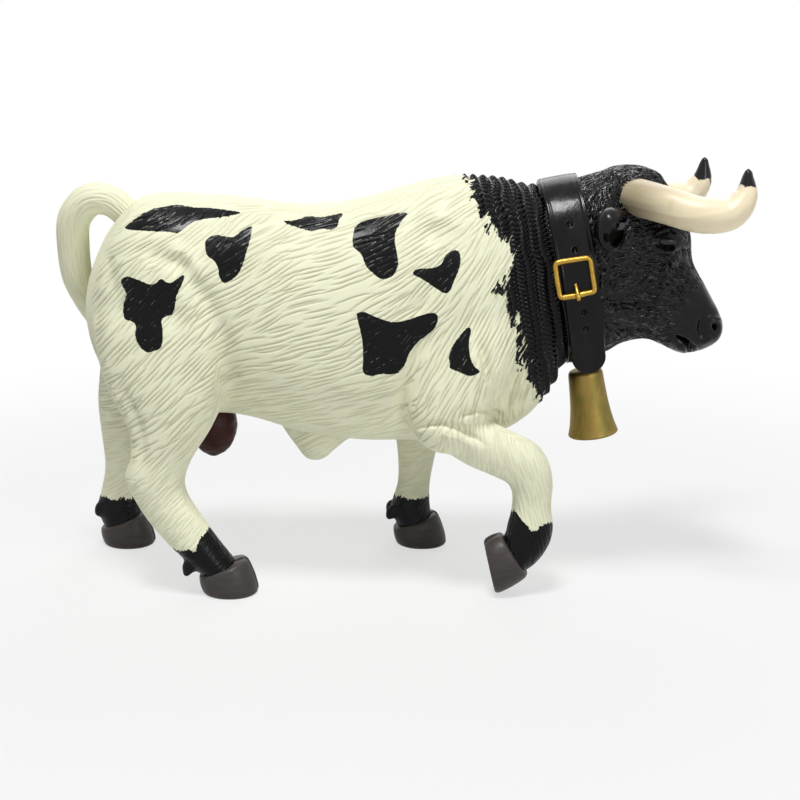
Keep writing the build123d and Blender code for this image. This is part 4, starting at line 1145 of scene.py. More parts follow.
# %% Scrotum
SAC_CENTRE = np.array([place(-0.276), 0.0, WITHERS * 0.378])
SAC_RADII, SAC_AROUND, SAC_RINGS = np.array([6.0, 6.0, 8.0]), 120, 70
FURROW_DEPTH, FURROW_HALF = 0.9, 1.1
WRINKLE_SIZE, WRINKLE_HEIGHT, WRINKLE_SEED = (2.2, 2.2, 0.9), 0.14, 61
own = bead_rings(np.zeros(3), SAC_RADII, SAC_AROUND, SAC_RINGS).reshape(-1, 3)
furrow = -FURROW_DEPTH * np.exp(-((own[:, 1] / FURROW_HALF) ** 2)) * ramp(2, -6, own[:, 2])
wrinkle = random_field(own / WRINKLE_SIZE, WRINKLE_SEED) * WRINKLE_HEIGHT
sac = own + unit(own) * (furrow + wrinkle)[:, None] + SAC_CENTRE
scrotum = add_piece("scrotum_skin", *closed_tube(sac.reshape(SAC_RINGS, SAC_AROUND, 3)))
skin_brown = Finish("brown_skin", specular_ior_level=0.20)
mottle = skin_brown.noise((3, 3, 3), detail=4)
red_brown = skin_brown.mix(mottle, tone(34, 11, 9), tone(62, 24, 20))
skin_brown.set(base_color=red_brown, roughness=0.34 + mottle * 0.2)
skin_brown.bump(skin_brown.noise((1.2, 1.2, 0.6), detail=3), 0.15)
dress(scrotum, skin_brown, "scrotum")
print("scrotum", np.ptp(sac, axis=0).round(1), "mm")

# %% [markdown]
# ## Head
# The head is its own casting. Its main form is a loft from the neck to the muzzle. Cheeks, brows,
# lips and the tuft of hair between the horns are beads melted into it, the lids, nostrils, mouth
# and jaw are pressed in like the folds of the body, and the hair is cut last.

# %% Head form
HEAD_WIDTH = 26.0
HEAD = [  # as for the torso
    (0.320, 1.018, 0.592, 0.570, 0.56, 6), (0.348, 1.030, 0.602, 0.525, 0.60, 3),
    (0.376, 1.016, 0.604, 0.500, 0.64, 0), (0.401, 0.968, 0.586, 0.470, 0.68, 0),
    (0.423, 0.902, 0.567, 0.400, 0.66, 0), (0.444, 0.828, 0.566, 0.325, 0.56, 0),
    (0.462, 0.735, 0.578, 0.295, 0.50, 0), (0.477, 0.680, 0.594, 0.260, 0.50, 0),
    (0.485, 0.655, 0.614, 0.170, 0.50, 0),
]
HEAD_BEADS = [  # centre along, distance to either side, height and three radii, in millimetres
    (64.5, 8.2, 92.0, 5.0, 4.0, 3.2), (62.0, 8.4, 73.0, 8.5, 4.2, 9.0),
    (76.5, 4.3, 66.5, 4.0, 3.4, 4.2), (58.0, 4.5, 100.2, 7.0, 5.0, 2.6),
    (57.5, 9.6, 96.2, 5.6, 3.4, 5.4),
]
HEAD_AROUND, HEAD_FULLNESS = 140, 2.35
FINE_HEAD_VOXEL, QUICK_HEAD_VOXEL = 0.3, 0.6
HEAD_ROUNDS, HEAD_CALM = 70, 0.5
head_rows = np.vstack([neck_row(HALF_GAP), neck_row(SEAT), section_rows(HEAD, HEAD_WIDTH)])
head_rings = egg_rings(smooth_rows(head_rows, ROW_STEPS), HEAD_AROUND, HEAD_FULLNESS)
head_tubes = [closed_tube(head_rings)]
for along, out, height, *radii in HEAD_BEADS:
    for side in (-1, 1):
        centre = np.array([along, side * out, height])
        head_tubes.append(closed_tube(bead_rings(centre, np.array(radii))))
HEAD_VOXEL = FINE_HEAD_VOXEL
face, face_quads = melt("head_blank", head_tubes, HEAD_VOXEL)
head_rounds = int(HEAD_ROUNDS * (FINE_HEAD_VOXEL / HEAD_VOXEL) ** 2)
face = soften(face, face_quads, head_rounds, HEAD_CALM)
print("head points", len(face), "box", face.min(0).round(2), face.max(0).round(2))

# %% Lids, nostrils, mouth and jaw
FACE_FOLDS = [  # as for the body
    (6.0, -0.9, [(659, 243), (676, 243)], "both"),
    (3.0, 1.4, [(652, 236), (660, 231), (669, 229), (684, 233)], "both"),
    (2.4, 1.0, [(655, 247), (662, 251), (670, 252), (681, 248)], "both"),
    (1.8, -0.5, [(656, 229), (668, 225), (680, 227)], "both"),
    (5.0, 0.7, [(680, 257), (668, 273), (661, 290), (659, 306)], "both"),
    (6.0, -0.6, [(690, 262), (685, 280), (681, 300)], "both"),
    (2.0, -1.5, [(697, 351), (691, 346), (684, 341), (674, 337)], "both"),
    (2.6, -1.4, [(689, 356), (690, 350), (688, 345)], "both"),
    (4.0, 0.5, [(699, 343), (712, 337)], "both"),
    (4.0, 0.5, [(676, 346), (688, 350)], "both"),
    (2.3, -1.5, [(714, 325), (718, 330)], "both"),
    (2.2, 0.6, [(708, 323), (713, 318), (721, 320)], "both"),
    (2.8, -0.6, [(702, 318), (700, 330), (704, 339)], "both"),
    (4.5, 0.8, [(604, 313), (625, 317), (648, 320), (662, 334)], "both"),
    (5.0, -0.7, [(604, 326), (630, 327), (654, 330)], "both"),
    (3.0, -0.5, [(600, 300), (630, 306), (650, 309)], "both"),
]
FACE_PUSH = 1.25
DISH_HEIGHT, DISH_HALF, DISH_DEPTH = 80.0, 5.5, 2.3
DISH_BACK, DISH_FRONT = 64, 72
face_normals = point_normals(face, face_quads)
face = face + face_normals * FACE_PUSH * press(face, face_normals, FACE_FOLDS)[:, None]
dish = DISH_DEPTH * np.exp(-(((face[:, 2] - DISH_HEIGHT) / DISH_HALF) ** 2))
face[:, 0] -= dish * ramp(DISH_BACK, DISH_FRONT, face[:, 0])
print(len(FACE_FOLDS), "folds of the face")

# %% [markdown]
# The hair of the head is short and scruffy. It is cut like the coat, but each cell of the grid of
# directions is turned by chance. The muzzle and the skin round the eyes stay bare, and the jaw bone
# nearly so.

# %% Hair of the head
FACE_HAIR = [  # as for the coat
    (600, 190, 75), (600, 260, 85), (606, 310, 60), (640, 180, 150), (665, 172, 150), (690, 190, 140),
    (640, 270, 15), (640, 300, 8), (660, 260, 165), (680, 280, 145), (670, 310, 160), (700, 290, 135),
    (650, 320, 5), (620, 335, 175), (685, 225, 150), (630, 240, 40), (715, 330, 150),
]
SCRUFF_CELLS, SCRUFF_TURN, SCRUFF_SEED = 1.6, 0.8, 83
CURL_SIZE, CURL_SPACING, CURL_SEED, CURL_REACH = 2.2, 30, 81, 0.75
FACE_CUT_LENGTH, FACE_CUT_WIDTH, FACE_CUT_SEED = 2.8, 0.8, 211
FACE_CUT_DEPTH, FACE_RIDGE_SHARE = 0.80, 0.2
NOSE_START, NOSE_FULL, NOSE_LEVEL, NOSE_SLANT = 676, 704, 300, 0.45
JAW_LINE, EYE_LINE = [(602, 312), (650, 320)], [(662, 243), (674, 243)]
JAW_FAR, JAW_NEAR, JAW_BARE = 6, 1, 0.7
EYE_FAR, EYE_NEAR = 13, 7

face_normals = point_normals(face, face_quads)
face_spots = side_view(face)
face_grid = stroke_grid(FACE_HAIR)
rows, columns = (np.arange(count) / SCRUFF_CELLS for count in face_grid.shape)
cells = np.stack(np.meshgrid(rows, columns, [0.5], indexing="ij"), -1).reshape(-1, 3)
scruff = random_field(cells, SCRUFF_SEED).reshape(face_grid.shape)
face_grid = (face_grid + SCRUFF_TURN * scruff) % np.pi
curled_face = face + random_shift(face, CURL_SIZE, CURL_SPACING, CURL_SEED, CURL_REACH)
face_cut = carved(curled_face, face_normals, face_grid, FACE_CUT_LENGTH, FACE_CUT_WIDTH, FACE_CUT_SEED)
slanted = face_spots[:, 0] + (face_spots[:, 1] - NOSE_LEVEL) * NOSE_SLANT
smooth_nose = ramp(NOSE_START, NOSE_FULL, slanted)
bony = ramp(JAW_FAR, JAW_NEAR, line_distance(face_spots, JAW_LINE)) * JAW_BARE
near_eye = ramp(EYE_FAR, EYE_NEAR, line_distance(face_spots, EYE_LINE))
haired = (1 - smooth_nose) * (1 - bony) * (1 - near_eye)
push = FACE_CUT_DEPTH * (FACE_RIDGE_SHARE - face_cut) * haired
face = face + face_normals * push[:, None]
face_normals = point_normals(face, face_quads)
print("carved head", len(face_quads) * 2, "triangles")

# %% [markdown]
# The head is sprayed black and lacquered. The paint is nearly even, so its finish has only fine
# specks, a little dust in the cuts, and a muzzle that has less grain and is a touch duller.

# %% Head piece and its finish
coat_black = Finish("black_coat", specular_ior_level=0.20, coat_weight=0.04, coat_roughness=0.10)
bare = coat_black.attribute("smooth")
dust = coat_black.attribute("cut")
speck = coat_black.noise((1.4, 1.4, 1.4), detail=4)
sooty = coat_black.mix(speck * 0.5 + dust * 0.2, tone(5, 5, 6), tone(18, 17, 18))
coat_black.set(base_color=sooty, roughness=0.16 + bare * 0.05 + speck * 0.07)
coat_black.bump(coat_black.noise((0.7, 0.7, 0.7), detail=3) * (1 - bare), 0.10)
smooth = np.maximum(smooth_nose, near_eye)
head = add_piece("head_skin", face, face_quads, normals=face_normals, smooth=smooth, cut=face_cut)
dress(head, coat_black, "head")
print("head finish of", len(coat_black.tree.nodes), "nodes")

# %% [markdown]
# The eye is a glossy bead set into the socket. It could be painted on the head, but a bead of its
# own catches the light. It sits under the point of the face that the side view shows there.

# %% Eyes
EYE_SPOT, EYE_RADII = (667.5, 242.5), np.array([2.9, 1.7, 1.75])
EYE_SINK, EYE_LEAST_OUT, EYE_AROUND, EYE_RINGS = 0.9, 4, 48, 28
eye_gloss = Finish("eye_gloss", specular_ior_level=0.4)
depth = eye_gloss.noise((2, 2, 2), detail=2)
pupil = eye_gloss.mix(depth, tone(8, 7, 7), tone(26, 20, 17))
eye_gloss.set(base_color=pupil, roughness=0.07 + depth * 0.05)
for name, side in (("right_eye", -1), ("left_eye", 1)):
    on_side = np.flatnonzero(face[:, 1] * side > EYE_LEAST_OUT)
    nearest = on_side[np.argmin(((face_spots[on_side] - EYE_SPOT) ** 2).sum(1))]
    centre = face[nearest] - face_normals[nearest] * EYE_SINK
    eye = add_piece(name, *closed_tube(bead_rings(centre, EYE_RADII, EYE_AROUND, EYE_RINGS)))
    dress(eye, eye_gloss, "head")
    print(name, centre.round(2))

# %% [markdown]
# ## Horns
# The horns are smooth mouldings with a mould line and black tips. A tube along a curve gives them
# their even taper, and one number per point, the share of the length, tells the finish where the
# root and the tip are.

# %% Horns
HORN = [  # place along, share of the half spread, height, radius in millimetres
    (0.331, 0.18, 0.962, 4.40), (0.345, 0.48, 0.960, 4.40), (0.376, 0.76, 0.949, 4.36),
    (0.417, 0.95, 0.931, 4.14), (0.456, 1.00, 0.934, 3.70), (0.4765, 0.99, 0.972, 2.75),
    (0.4795, 0.965, 1.018, 1.25), (0.4797, 0.96, 1.030, 0.75), (0.4797, 0.958, 1.0355, 0.12),
]
HALF_SPREAD = 23.5
HORN_STEPS, HORN_AROUND = 18, 72
RIDGE_HEIGHT, RIDGE_TURN, RIDGE_HALF, RIDGE_END = 0.10, 0.6, 0.05, 0.9
LUMP_HEIGHT, LUMP_LENGTH, LUMP_ROUND, LUMP_SEED = 0.10, 7, 1.3, 131
LEFT_TIP_MORE = 0.03  # the left tip is dipped a little further
along, out, height, thickness = smooth_rows(HORN, HORN_STEPS).T
horn_finish = Finish("horn_ivory", specular_ior_level=0.3)
along_horn = horn_finish.attribute("along")
dipped = along_horn + horn_finish.noise((2.4, 2.4, 3.0), detail=1.5) * 0.10
tip = horn_finish.ramp(dipped, 0.945, 0.953)
streak = horn_finish.noise((9, 9, 2.0), detail=4)
stain = horn_finish.ramp(horn_finish.noise((5, 5, 5), detail=3, seed=4.0), 0.6, 0.78)
root = 1 - horn_finish.ramp(along_horn + streak * 0.12, 0.26, 0.62)
ivory = horn_finish.mix(streak * 0.4 + stain * 0.3, tone(247, 236, 206), tone(222, 198, 150))
ivory = horn_finish.mix(root * 0.85, ivory, tone(158, 143, 112))
horn_finish.set(base_color=horn_finish.mix(tip, ivory, tone(9, 8, 8)))
horn_finish.set(roughness=0.36 - tip * 0.2 + stain * 0.1)
horn_finish.bump(streak, 0.08)
for name, side in (("right_horn", -1), ("left_horn", 1)):
    path = np.stack([place(along), side * HALF_SPREAD * out, WITHERS * height], 1)
    run = path_length(path)
    angle = round_angles(HORN_AROUND)
    from_line = np.abs(np.sin(angle / 2 - RIDGE_TURN)) / RIDGE_HALF
    ridge = RIDGE_HEIGHT * np.exp(-(from_line**2)) * (run < run[-1] * RIDGE_END)[:, None]
    cosine, sine = np.cos(angle) * LUMP_ROUND, np.sin(angle) * LUMP_ROUND
    places = np.stack(np.broadcast_arrays(run[:, None] / LUMP_LENGTH, cosine, sine), -1)
    lump = random_field(places.reshape(-1, 3), LUMP_SEED).reshape(len(run), -1)
    radius = thickness[:, None] + ridge + lump * LUMP_HEIGHT
    points, quads, fans = closed_tube(path_rings(path, radius, (-1, 0, 1), HORN_AROUND))
    share = np.append(np.repeat(run / run[-1], HORN_AROUND), [0, 1])
    share = share + (LEFT_TIP_MORE if side > 0 else 0)
    horn = add_piece(f"{name}_skin", points, quads, fans, along=share)
    dress(horn, horn_finish, name)
    print(name, round(float(run[-1]), 1), "mm along its curve")

# %% [markdown]
# ## Ears
# The ears are cupped leaves under the horns. Each ring of an ear is an open arc there and the same
# arc back inside, a wall's thickness smaller, so the cup has real walls.

# %% Ears
EAR_ROOT = (place(0.321), 12.48, 90.2)
EAR_LENGTH, EAR_SWEEP = 11.5, np.radians(26)
EAR = [  # share of the length, drop, half height, half depth, wall
    (0.00, 0.0, 2.2, 1.8, 1.5), (0.20, 0.0, 3.5, 2.6, 1.5), (0.45, 0.2, 4.4, 3.3, 1.3),
    (0.70, 0.7, 4.8, 3.5, 1.2), (0.88, 1.4, 4.3, 3.1, 1.2), (0.97, 1.9, 3.2, 2.2, 1.1),
    (1.00, 2.2, 1.7, 1.2, 0.8),
]
LIP_ANGLE, EAR_DROOP, EAR_STEPS, EAR_AROUND = np.radians(52), 0.30, 12, 44
LEAST_HOLLOW, HOLLOW_SHIFT_SHARE = 0.3, 0.3
EAR_ROUGH, EAR_ROUGH_SIZE, EAR_ROUGH_SEED = 0.16, (2.0, 2.0, 1.4), 141
EAR_SMOOTH = 0.85
ear_table = smooth_rows(EAR, EAR_STEPS)
along, drop, tall, deep, wall = (column[:, None] for column in ear_table.T)
inner_tall, inner_deep = np.maximum(tall - wall, LEAST_HOLLOW), np.maximum(deep - wall, LEAST_HOLLOW)
bend = np.linspace(LIP_ANGLE, 2 * np.pi - LIP_ANGLE, EAR_AROUND)
high = np.hstack([tall * np.sin(bend), inner_tall * np.sin(bend[::-1])]) - drop
inner_ahead = inner_deep * np.cos(bend[::-1]) + wall * HOLLOW_SHIFT_SHARE
ahead = np.hstack([deep * np.cos(bend), inner_ahead])
for name, side in (("right_ear", -1), ("left_ear", 1)):
    out = np.array([-np.sin(EAR_SWEEP), side * np.cos(EAR_SWEEP), 0])
    front = np.array([np.cos(EAR_SWEEP), side * np.sin(EAR_SWEEP), -EAR_DROOP])
    middle_line = np.array(EAR_ROOT) * [1, side, 1] + along * EAR_LENGTH * out
    rings = middle_line[:, None] + high[..., None] * [0, 0, 1] + ahead[..., None] * front
    places = (rings / EAR_ROUGH_SIZE).reshape(-1, 3)
    rough = random_field(places, EAR_ROUGH_SEED).reshape(high.shape)
    rings = rings + rough[..., None] * EAR_ROUGH * front
    points, quads, fans = closed_tube(rings)
    plain = np.zeros(len(points))
    ear = add_piece(f"{name}_skin", points, quads, fans, smooth=plain + EAR_SMOOTH, cut=plain)
    dress(ear, coat_black, name)
    print(name, np.ptp(points, axis=0).round(1), "mm")

# %% [markdown]
# ## Strap, tongue and buckle
# The strap is a flat band with rounded edges and a fine line pressed along each side. Its profile
# is carried round the neck's oval. The free tongue is the same profile carried down the right
# side, rounded at its tip, with small pressed holes.

# %% Strap profile
STRAP_HALF_WIDTH, STRAP_GAP, STRAP_THICKNESS = 4.7, 0.15, 1.3
BAND_HALF_ACROSS = NECK_HALF_WIDTH + STRAP_GAP + STRAP_THICKNESS
BAND_HALF_UP = NECK_HALF_HEIGHT + STRAP_GAP + STRAP_THICKNESS
HOLE_RADIUS, HOLE_DEPTH = 0.62, 0.7
FACE_SHARE, EDGE_SHARE, OUTER_SHARE = 0.94, 0.06, 0.9
LINE_DEPTH_SHARE, LINE_PLACE_SHARE, LINE_HALF_SHARE = 0.09, 0.80, 0.035


def strap_profile(face_steps=44):
    """Closed outline of a flat band, as shares of its half width and thickness: a face, a rounded
    edge, a back and another rounded edge."""
    outer = np.linspace(FACE_SHARE, -FACE_SHARE, face_steps)
    back = outer[::4][::-1]
    bend = np.linspace(0, np.pi, 9)[1:-1]
    edge, turn = EDGE_SHARE * np.sin(bend), 0.5 * np.cos(bend)
    across = np.concatenate([outer, -FACE_SHARE - edge, back, FACE_SHARE + edge])
    rise = np.concatenate([np.ones(face_steps), 0.5 + turn, np.zeros(len(back)), 0.5 - turn])
    return across, rise


def edge_lines(across, rise):
    """Fine lines pressed along both sides of the outer face, as a share of the thickness."""
    from_line = (np.abs(across) - LINE_PLACE_SHARE) / LINE_HALF_SHARE
    return -LINE_DEPTH_SHARE * np.exp(-(from_line**2)) * (rise > OUTER_SHARE)


def loop_quads(rings, around):
    """Quads of a tube whose last ring joins the first."""
    step, here = np.arange(rings)[:, None] * around, np.arange(around)
    ahead, after = (step + around) % (rings * around), (here + 1) % around
    quads = np.stack([step + here, step + after, ahead + after, ahead + here], -1)
    return quads.reshape(-1, 4)


def holes(along_axis, upward, ups):
    """Depth of round holes, from the distance to each hole's middle."""
    depth = np.zeros_like(upward)
    for up in ups:
        depth = np.maximum(depth, np.exp(-((np.hypot(along_axis, upward - up) / HOLE_RADIUS) ** 4)))
    return depth * HOLE_DEPTH


def on_neck(along, out, up):
    """Places from distances along the neck's axis, out to its left and up across it."""
    level = NECK_CENTRE + along[..., None] * NECK_AXIS + out[..., None] * [0, 1, 0]
    return level + up[..., None] * NECK_UP


across, rise = strap_profile()
print("strap profile of", len(across), "points")

# %% Band
BAND_STEPS, BAND_CROWN, RIGHT_SIDE = 520, 0.12, -0.3
BAND_HOLES = [0.56 * BAND_HALF_UP, 0.30 * BAND_HALF_UP]
angle = round_angles(BAND_STEPS)[:, None]
lift = STRAP_THICKNESS * (rise + edge_lines(across, rise)) + BAND_CROWN * rise * (1 - across**2)
upward = BAND_HALF_UP * np.sin(angle) + 0 * across
right_face = (np.cos(angle) < RIGHT_SIDE) & (rise > OUTER_SHARE)
lift = lift - holes(STRAP_HALF_WIDTH * across, upward, BAND_HOLES) * right_face
wave = 0.10 * np.sin(angle * 5 + 1) + 0.08 * np.sin(angle * 9)
y = (NECK_HALF_WIDTH + STRAP_GAP + lift) * np.cos(angle)
up = (NECK_HALF_HEIGHT + STRAP_GAP + lift) * np.sin(angle)
band_points = on_neck(STRAP_HALF_WIDTH * across + wave, y, up).reshape(-1, 3)
band_quads = loop_quads(BAND_STEPS, len(across))
print("band of", len(band_points), "points")

# %% Tongue
TONGUE = [  # out to the right and up, as shares of the band's half width and half height
    (0.974, 0.20), (1.000, 0.00), (0.968, -0.25), (0.900, -0.46), (0.775, -0.74), (0.655, -1.03),
]
TONGUE_HALF_WIDTH, TONGUE_THICKNESS, TONGUE_SINK = 4.1, 1.2, 0.15
TONGUE_HOLES = [-0.34 * BAND_HALF_UP, -0.52 * BAND_HALF_UP]
TONGUE_STEPS, TIP_LIMIT = 40, 0.998
line = smooth_rows(np.array(TONGUE) * [BAND_HALF_ACROSS, BAND_HALF_UP], TONGUE_STEPS)
run = path_length(line)
slope = unit(np.gradient(line, axis=0))
outward = np.stack([-slope[:, 1], slope[:, 0]], 1)
tip = np.clip((run - run[-1] + TONGUE_HALF_WIDTH) / TONGUE_HALF_WIDTH, 0, TIP_LIMIT)
half = (TONGUE_HALF_WIDTH * np.sqrt(1 - tip**2))[:, None]
height = TONGUE_THICKNESS * (rise + edge_lines(across, rise)) - TONGUE_SINK
dent = holes(half * across, line[:, 1:] + 0 * across, TONGUE_HOLES)
height = height - dent * (rise > OUTER_SHARE)
y = -(line[:, :1] + outward[:, :1] * height)
up = line[:, 1:] + outward[:, 1:] * height
tongue_rings = on_neck(half * across, y, up)
print("tongue", round(float(run[-1]), 1), "mm long")

# %% [markdown]
# The strap is painted black and lacquered, and rubbed dull in places. Broad scuffs change its tone
# and gloss, and fine ones only its surface.

# %% Finish of the strap
strap_finish = Finish("black_strap", specular_ior_level=0.14, coat_weight=0.10, coat_roughness=0.09)
scuff = strap_finish.noise((3.5, 3.5, 9), detail=4)
fine_scuff = strap_finish.noise((0.8, 0.8, 0.8), detail=3)
dull = strap_finish.mix(strap_finish.ramp(scuff, 0.45, 0.8), tone(6, 6, 7), tone(18, 19, 21))
strap_finish.set(base_color=dull, roughness=0.18 + strap_finish.ramp(scuff, 0.4, 0.8) * 0.16)
strap_finish.bump(scuff * 0.7 + fine_scuff * 0.3, 0.12)
band = add_piece("strap_band", band_points, band_quads)
tongue = add_piece("strap_tongue", *closed_tube(tongue_rings))
for piece in (band, tongue):
    dress(piece, strap_finish, "collar_strap")
print("strap finish of", len(strap_finish.tree.nodes), "nodes")

# %% [markdown]
# The buckle is a square of gold-painted wire, a little uneven as if bent by hand, with a short
# prong over its lower bar.

# %% Buckle and prong
BUCKLE_HALF, BUCKLE_BAR, BUCKLE_SQUARENESS = 4.9, 1.4, 9
BUCKLE_STEPS, WIRE_AROUND, WIRE_POWER = 240, 24, 0.8
BUCKLE_LIFT, WIRE_HALF_DEPTH = 1.75, 0.85
BOW_SIZE, BOW_REACH, BOW_SEED = 2.6, 0.16, 151
BUCKLE_SPOT = (-0.24 * STRAP_HALF_WIDTH, 0.04 * NECK_HALF_HEIGHT)
PRONG = [  # up from the middle of the buckle, out from the band, radius
    (-1.6, 1.1, 0.40), (-2.8, 1.7, 0.52), (-4.1, 2.75, 0.60), (-5.3, 2.9, 0.48),
]
PRONG_STEPS, PRONG_AROUND = 10, 20
gold = Finish("gold_paint", metallic=1.0)
rub = gold.noise((1.1, 1.1, 1.1), detail=4)
rubbed_gold = gold.mix(rub, tone(191, 159, 77), tone(151, 115, 43))
gold.set(base_color=rubbed_gold, roughness=0.26 + rub * 0.22)
gold.bump(rub, 0.10)
angle = round_angles(BUCKLE_STEPS)
corner = np.stack([np.cos(angle), np.sin(angle)], 1)
square = np.sign(corner) * np.abs(corner) ** (2 / BUCKLE_SQUARENESS) * (BUCKLE_HALF - BUCKLE_BAR / 2)
ahead = unit(np.roll(square, -1, 0) - np.roll(square, 1, 0))
aside = np.stack([ahead[:, 1], -ahead[:, 0]], 1)
turn = round_angles(WIRE_AROUND)
wire = np.sign(np.cos(turn)) * np.abs(np.cos(turn)) ** WIRE_POWER
places = np.column_stack([square / BOW_SIZE, np.zeros(BUCKLE_STEPS)])
bow = random_field(places, BOW_SEED)[:, None] * BOW_REACH
flat = square[:, None] + aside[:, None] * ((BUCKLE_BAR / 2 + bow * 0.5) * wire + bow)[..., None]
deep = BAND_HALF_ACROSS + BUCKLE_LIFT + WIRE_HALF_DEPTH * np.sin(turn)[None, :] + bow
rings = on_neck(flat[..., 0] + BUCKLE_SPOT[0], -deep, flat[..., 1] + BUCKLE_SPOT[1])
buckle = add_piece("buckle_wire", rings.reshape(-1, 3), loop_quads(BUCKLE_STEPS, WIRE_AROUND))
rise_up, lift_out, thickness = smooth_rows(PRONG, PRONG_STEPS).T
middle = np.full(len(rise_up), BUCKLE_SPOT[0])
path = on_neck(middle, -(lift_out + BAND_HALF_ACROSS), rise_up + BUCKLE_SPOT[1])
radius = np.repeat(thickness[:, None], PRONG_AROUND, 1)
prong = add_piece("prong_wire", *closed_tube(path_rings(path, radius, NECK_AXIS, PRONG_AROUND)))
for piece, node in ((buckle, "buckle_frame"), (prong, "buckle_prong")):
    dress(piece, gold, node)
print("buckle", np.ptp(rings.reshape(-1, 3), axis=0).round(1), "mm")

# %% [markdown]
# ## Bell
# A turned wall: one profile runs down the outside, round the rim and up the inside, and is swept
# round the bell's own axis, which leans a little forward and rides on the bell's hinge.

# %% Bell
bell_joint = next(joint for joint in frame["joints"] if joint["name"] == "bell_swing")
HINGE = np.array(bell_joint["pos_m"]) / MM
BELL_TILT = np.radians(9)
BELL_UP = np.array([-np.sin(BELL_TILT), 0.0, np.cos(BELL_TILT)])
BELL_AHEAD = np.array([np.cos(BELL_TILT), 0.0, np.sin(BELL_TILT)])
BELL_HEIGHT, BELL_WALL, CROWN_DROP = 16.2, 0.9, 1.66
BELL = [  # radius in millimetres, share of the height down from the crown
    (0.6, -0.02), (2.4, -0.02), (3.6, -0.01), (4.15, 0.02), (4.36, 0.07), (4.48, 0.22), (4.84, 0.54),
    (5.52, 0.82), (6.12, 0.965), (6.3, 1.0),
]
BELL_STEPS, BELL_AROUND, RIM_STEPS, RIM_SHARE = 8, 144, 8, 0.8
LEAST_BORE = 0.3
outer = smooth_rows(BELL, BELL_STEPS) * [1, BELL_HEIGHT]
slope = unit(np.gradient(outer, axis=0))
inner = outer + np.stack([-slope[:, 1], slope[:, 0]], 1) * BELL_WALL
inner[:, 0] = np.maximum(inner[:, 0], LEAST_BORE)
rim = np.linspace(0, np.pi, RIM_STEPS)[1:-1, None]
middle_rim, half_rim = (outer[-1] + inner[-1]) / 2, (outer[-1] - inner[-1]) / 2
bead = middle_rim + half_rim * np.cos(rim) + np.array([0, BELL_WALL / 2]) * np.sin(rim) * RIM_SHARE
profile = np.vstack([outer, bead, inner[::-1]])
angle = round_angles(BELL_AROUND)
radius, fall = profile[:, :1], -(profile[:, 1:] + CROWN_DROP)
ahead, aside = radius * np.cos(angle), radius * np.sin(angle)
rings = HINGE + ahead[..., None] * BELL_AHEAD + aside[..., None] * [0, 1, 0]
rings = rings + (fall + 0 * angle)[..., None] * BELL_UP
bell = add_piece("bell_wall", *closed_tube(rings))
corners = rings.reshape(-1, 3)
print("bell", corners.min(0).round(2), corners.max(0).round(2))

# %% [markdown]
# The bell is brass-coloured metal with a dull patina and streaks that run down from the crown. The
# same brass goes on its bail, pin and clapper, and the loop that it hangs in is black like the strap.

# %% Finish of the bell
brass = Finish("bell_brass", metallic=1.0)
streak = brass.noise((1.6, 1.6, 9.0), (0, -BELL_TILT, 0), 4)
patina = brass.ramp(brass.noise((5, 5, 8), detail=3, seed=2.0), 0.45, 0.7)
bright = brass.mix(streak, tone(158, 137, 79), tone(135, 111, 55))
brass.set(base_color=brass.mix(patina, bright, tone(121, 112, 60)), roughness=0.44 + streak * 0.16)
brass.bump(streak * 0.6 + brass.noise((0.6, 0.6, 0.6), detail=3) * 0.4, 0.10)
dress(bell, brass, "bell_shell", "bell")
SHOWN_NODES = {"bell_bail": brass, "clapper_pin": brass, "clapper": brass, "hanger_loop": strap_finish}
for node, finish in SHOWN_NODES.items():
    shown = frame["nodes"][node]
    shown.data.materials.clear()
    shown.data.materials.append(finish.material)
print("finishes on", list(SHOWN_NODES))

# %% [markdown]
# ## Studio
# A plain pale floor and soft lamps. The background is white for the camera and in reflections, and
# the floor fades into it away from the figure, while the light on the figure stays at a plain level.

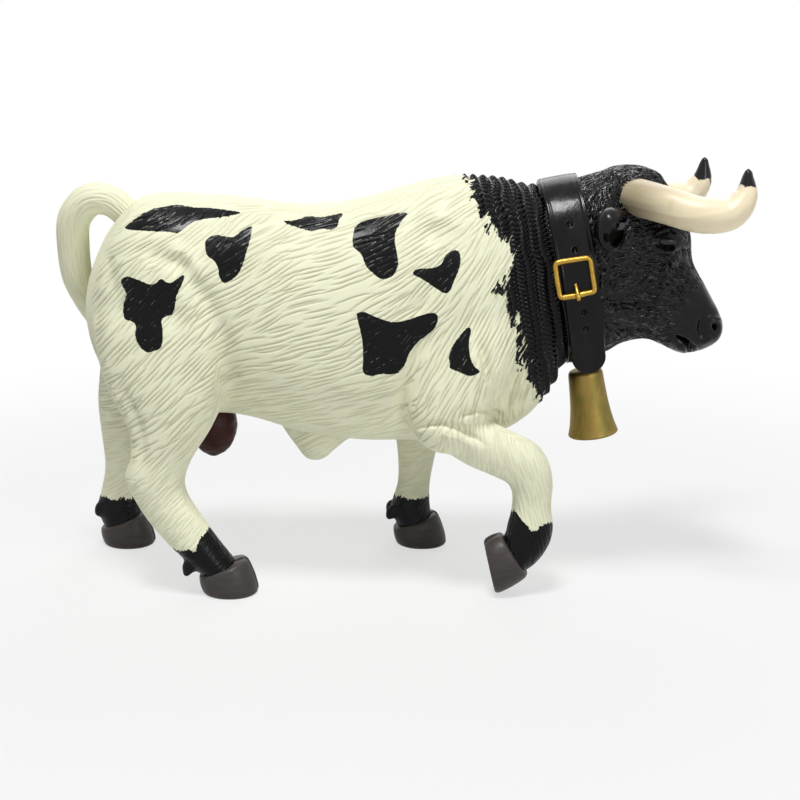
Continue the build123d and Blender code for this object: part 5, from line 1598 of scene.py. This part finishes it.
# %% Floor
FLOOR_HALF = 3
FADE_NEAR, FADE_FAR, LEAST_WHITE = 0.10, 0.30, 0.62
WHITE_RAYS = ("Is Camera Ray", "Is Glossy Ray", "Is Transmission Ray")
floor_mesh = bpy.data.meshes.new("floor")
floor_corners = [(FLOOR_HALF * x, FLOOR_HALF * y, 0) for x, y in ((-1, -1), (1, -1), (1, 1), (-1, 1))]
floor_mesh.from_pydata(floor_corners, [], [(0, 1, 2, 3)])
floor = bpy.data.objects.new("floor", floor_mesh)
bpy.context.scene.collection.objects.link(floor)
ground = Finish("pale_floor", roughness=0.9, base_color=tone(222, 222, 222))
seen = sum(ground.node("ShaderNodeLightPath", {}, {}, ray) for ray in WHITE_RAYS)
distance = ground.node("ShaderNodeVectorMath", {"operation": "LENGTH"}, {0: ground.place}, "Value")
glow = ground.node("ShaderNodeEmission", {}, {"Color": (1, 1, 1, 1), "Strength": 1.0})
fade = seen * (ground.ramp(distance, FADE_NEAR, FADE_FAR) * (1 - LEAST_WHITE) + LEAST_WHITE)
lit = Value(ground, ground.shader.outputs[0])
blend = ground.node("ShaderNodeMixShader", {}, {0: fade, 1: lit, 2: glow})
ground.feed(ground.tree.nodes["Material Output"].inputs["Surface"], blend)
floor_mesh.materials.append(ground.material)
print("floor", 2 * FLOOR_HALF, "m wide")

# %% World
WORLD_LIGHT = 0.16
world = bpy.data.worlds.new("studio")
bpy.context.scene.world = world
world.use_nodes = True
sky = world.node_tree
path = sky.nodes.new("ShaderNodeLightPath")
strength = sky.nodes["Background"].inputs["Strength"]
for ray in WHITE_RAYS:
    larger = sky.nodes.new("ShaderNodeMath")
    larger.operation = "MAXIMUM"
    larger.inputs[0].default_value = WORLD_LIGHT
    sky.links.new(path.outputs[ray], larger.inputs[1])
    if strength.is_linked:
        sky.links.new(strength.links[0].from_socket, larger.inputs[0])
    sky.links.new(larger.outputs[0], strength)
sky.nodes["Background"].inputs["Color"].default_value = (1, 1, 1, 1)
print("world of", len(sky.nodes), "nodes")

# %% Lamps
LAMPS = [  # name, place, side and watts
    ("key", (-0.08, -0.24, 0.85), 0.20, 5.6),
    ("fill", (0.42, -0.58, 0.28), 0.30, 1.2),
    ("back", (0.1, 0.6, 0.6), 0.5, 1.8),
]
LAMP_AIM = (0, 0, 0.05)


def soft_lamp(name, place, size, watts):
    """Square lamp at a place, in metres, turned so that its back points away from the aim."""
    data = bpy.data.lights.new(name, "AREA")
    data.size, data.energy = size, watts
    lamp = bpy.data.objects.new(name, data)
    lamp.location = place
    back = unit(np.array(place) - np.array(LAMP_AIM))
    lamp.rotation_euler = (np.arccos(back[2]), 0, np.arctan2(back[1], back[0]) + np.pi / 2)
    bpy.context.scene.collection.objects.link(lamp)


for lamp_row in LAMPS:
    soft_lamp(*lamp_row)
bpy.context.scene.view_settings.view_transform = "Standard"
print(len(LAMPS), "lamps")
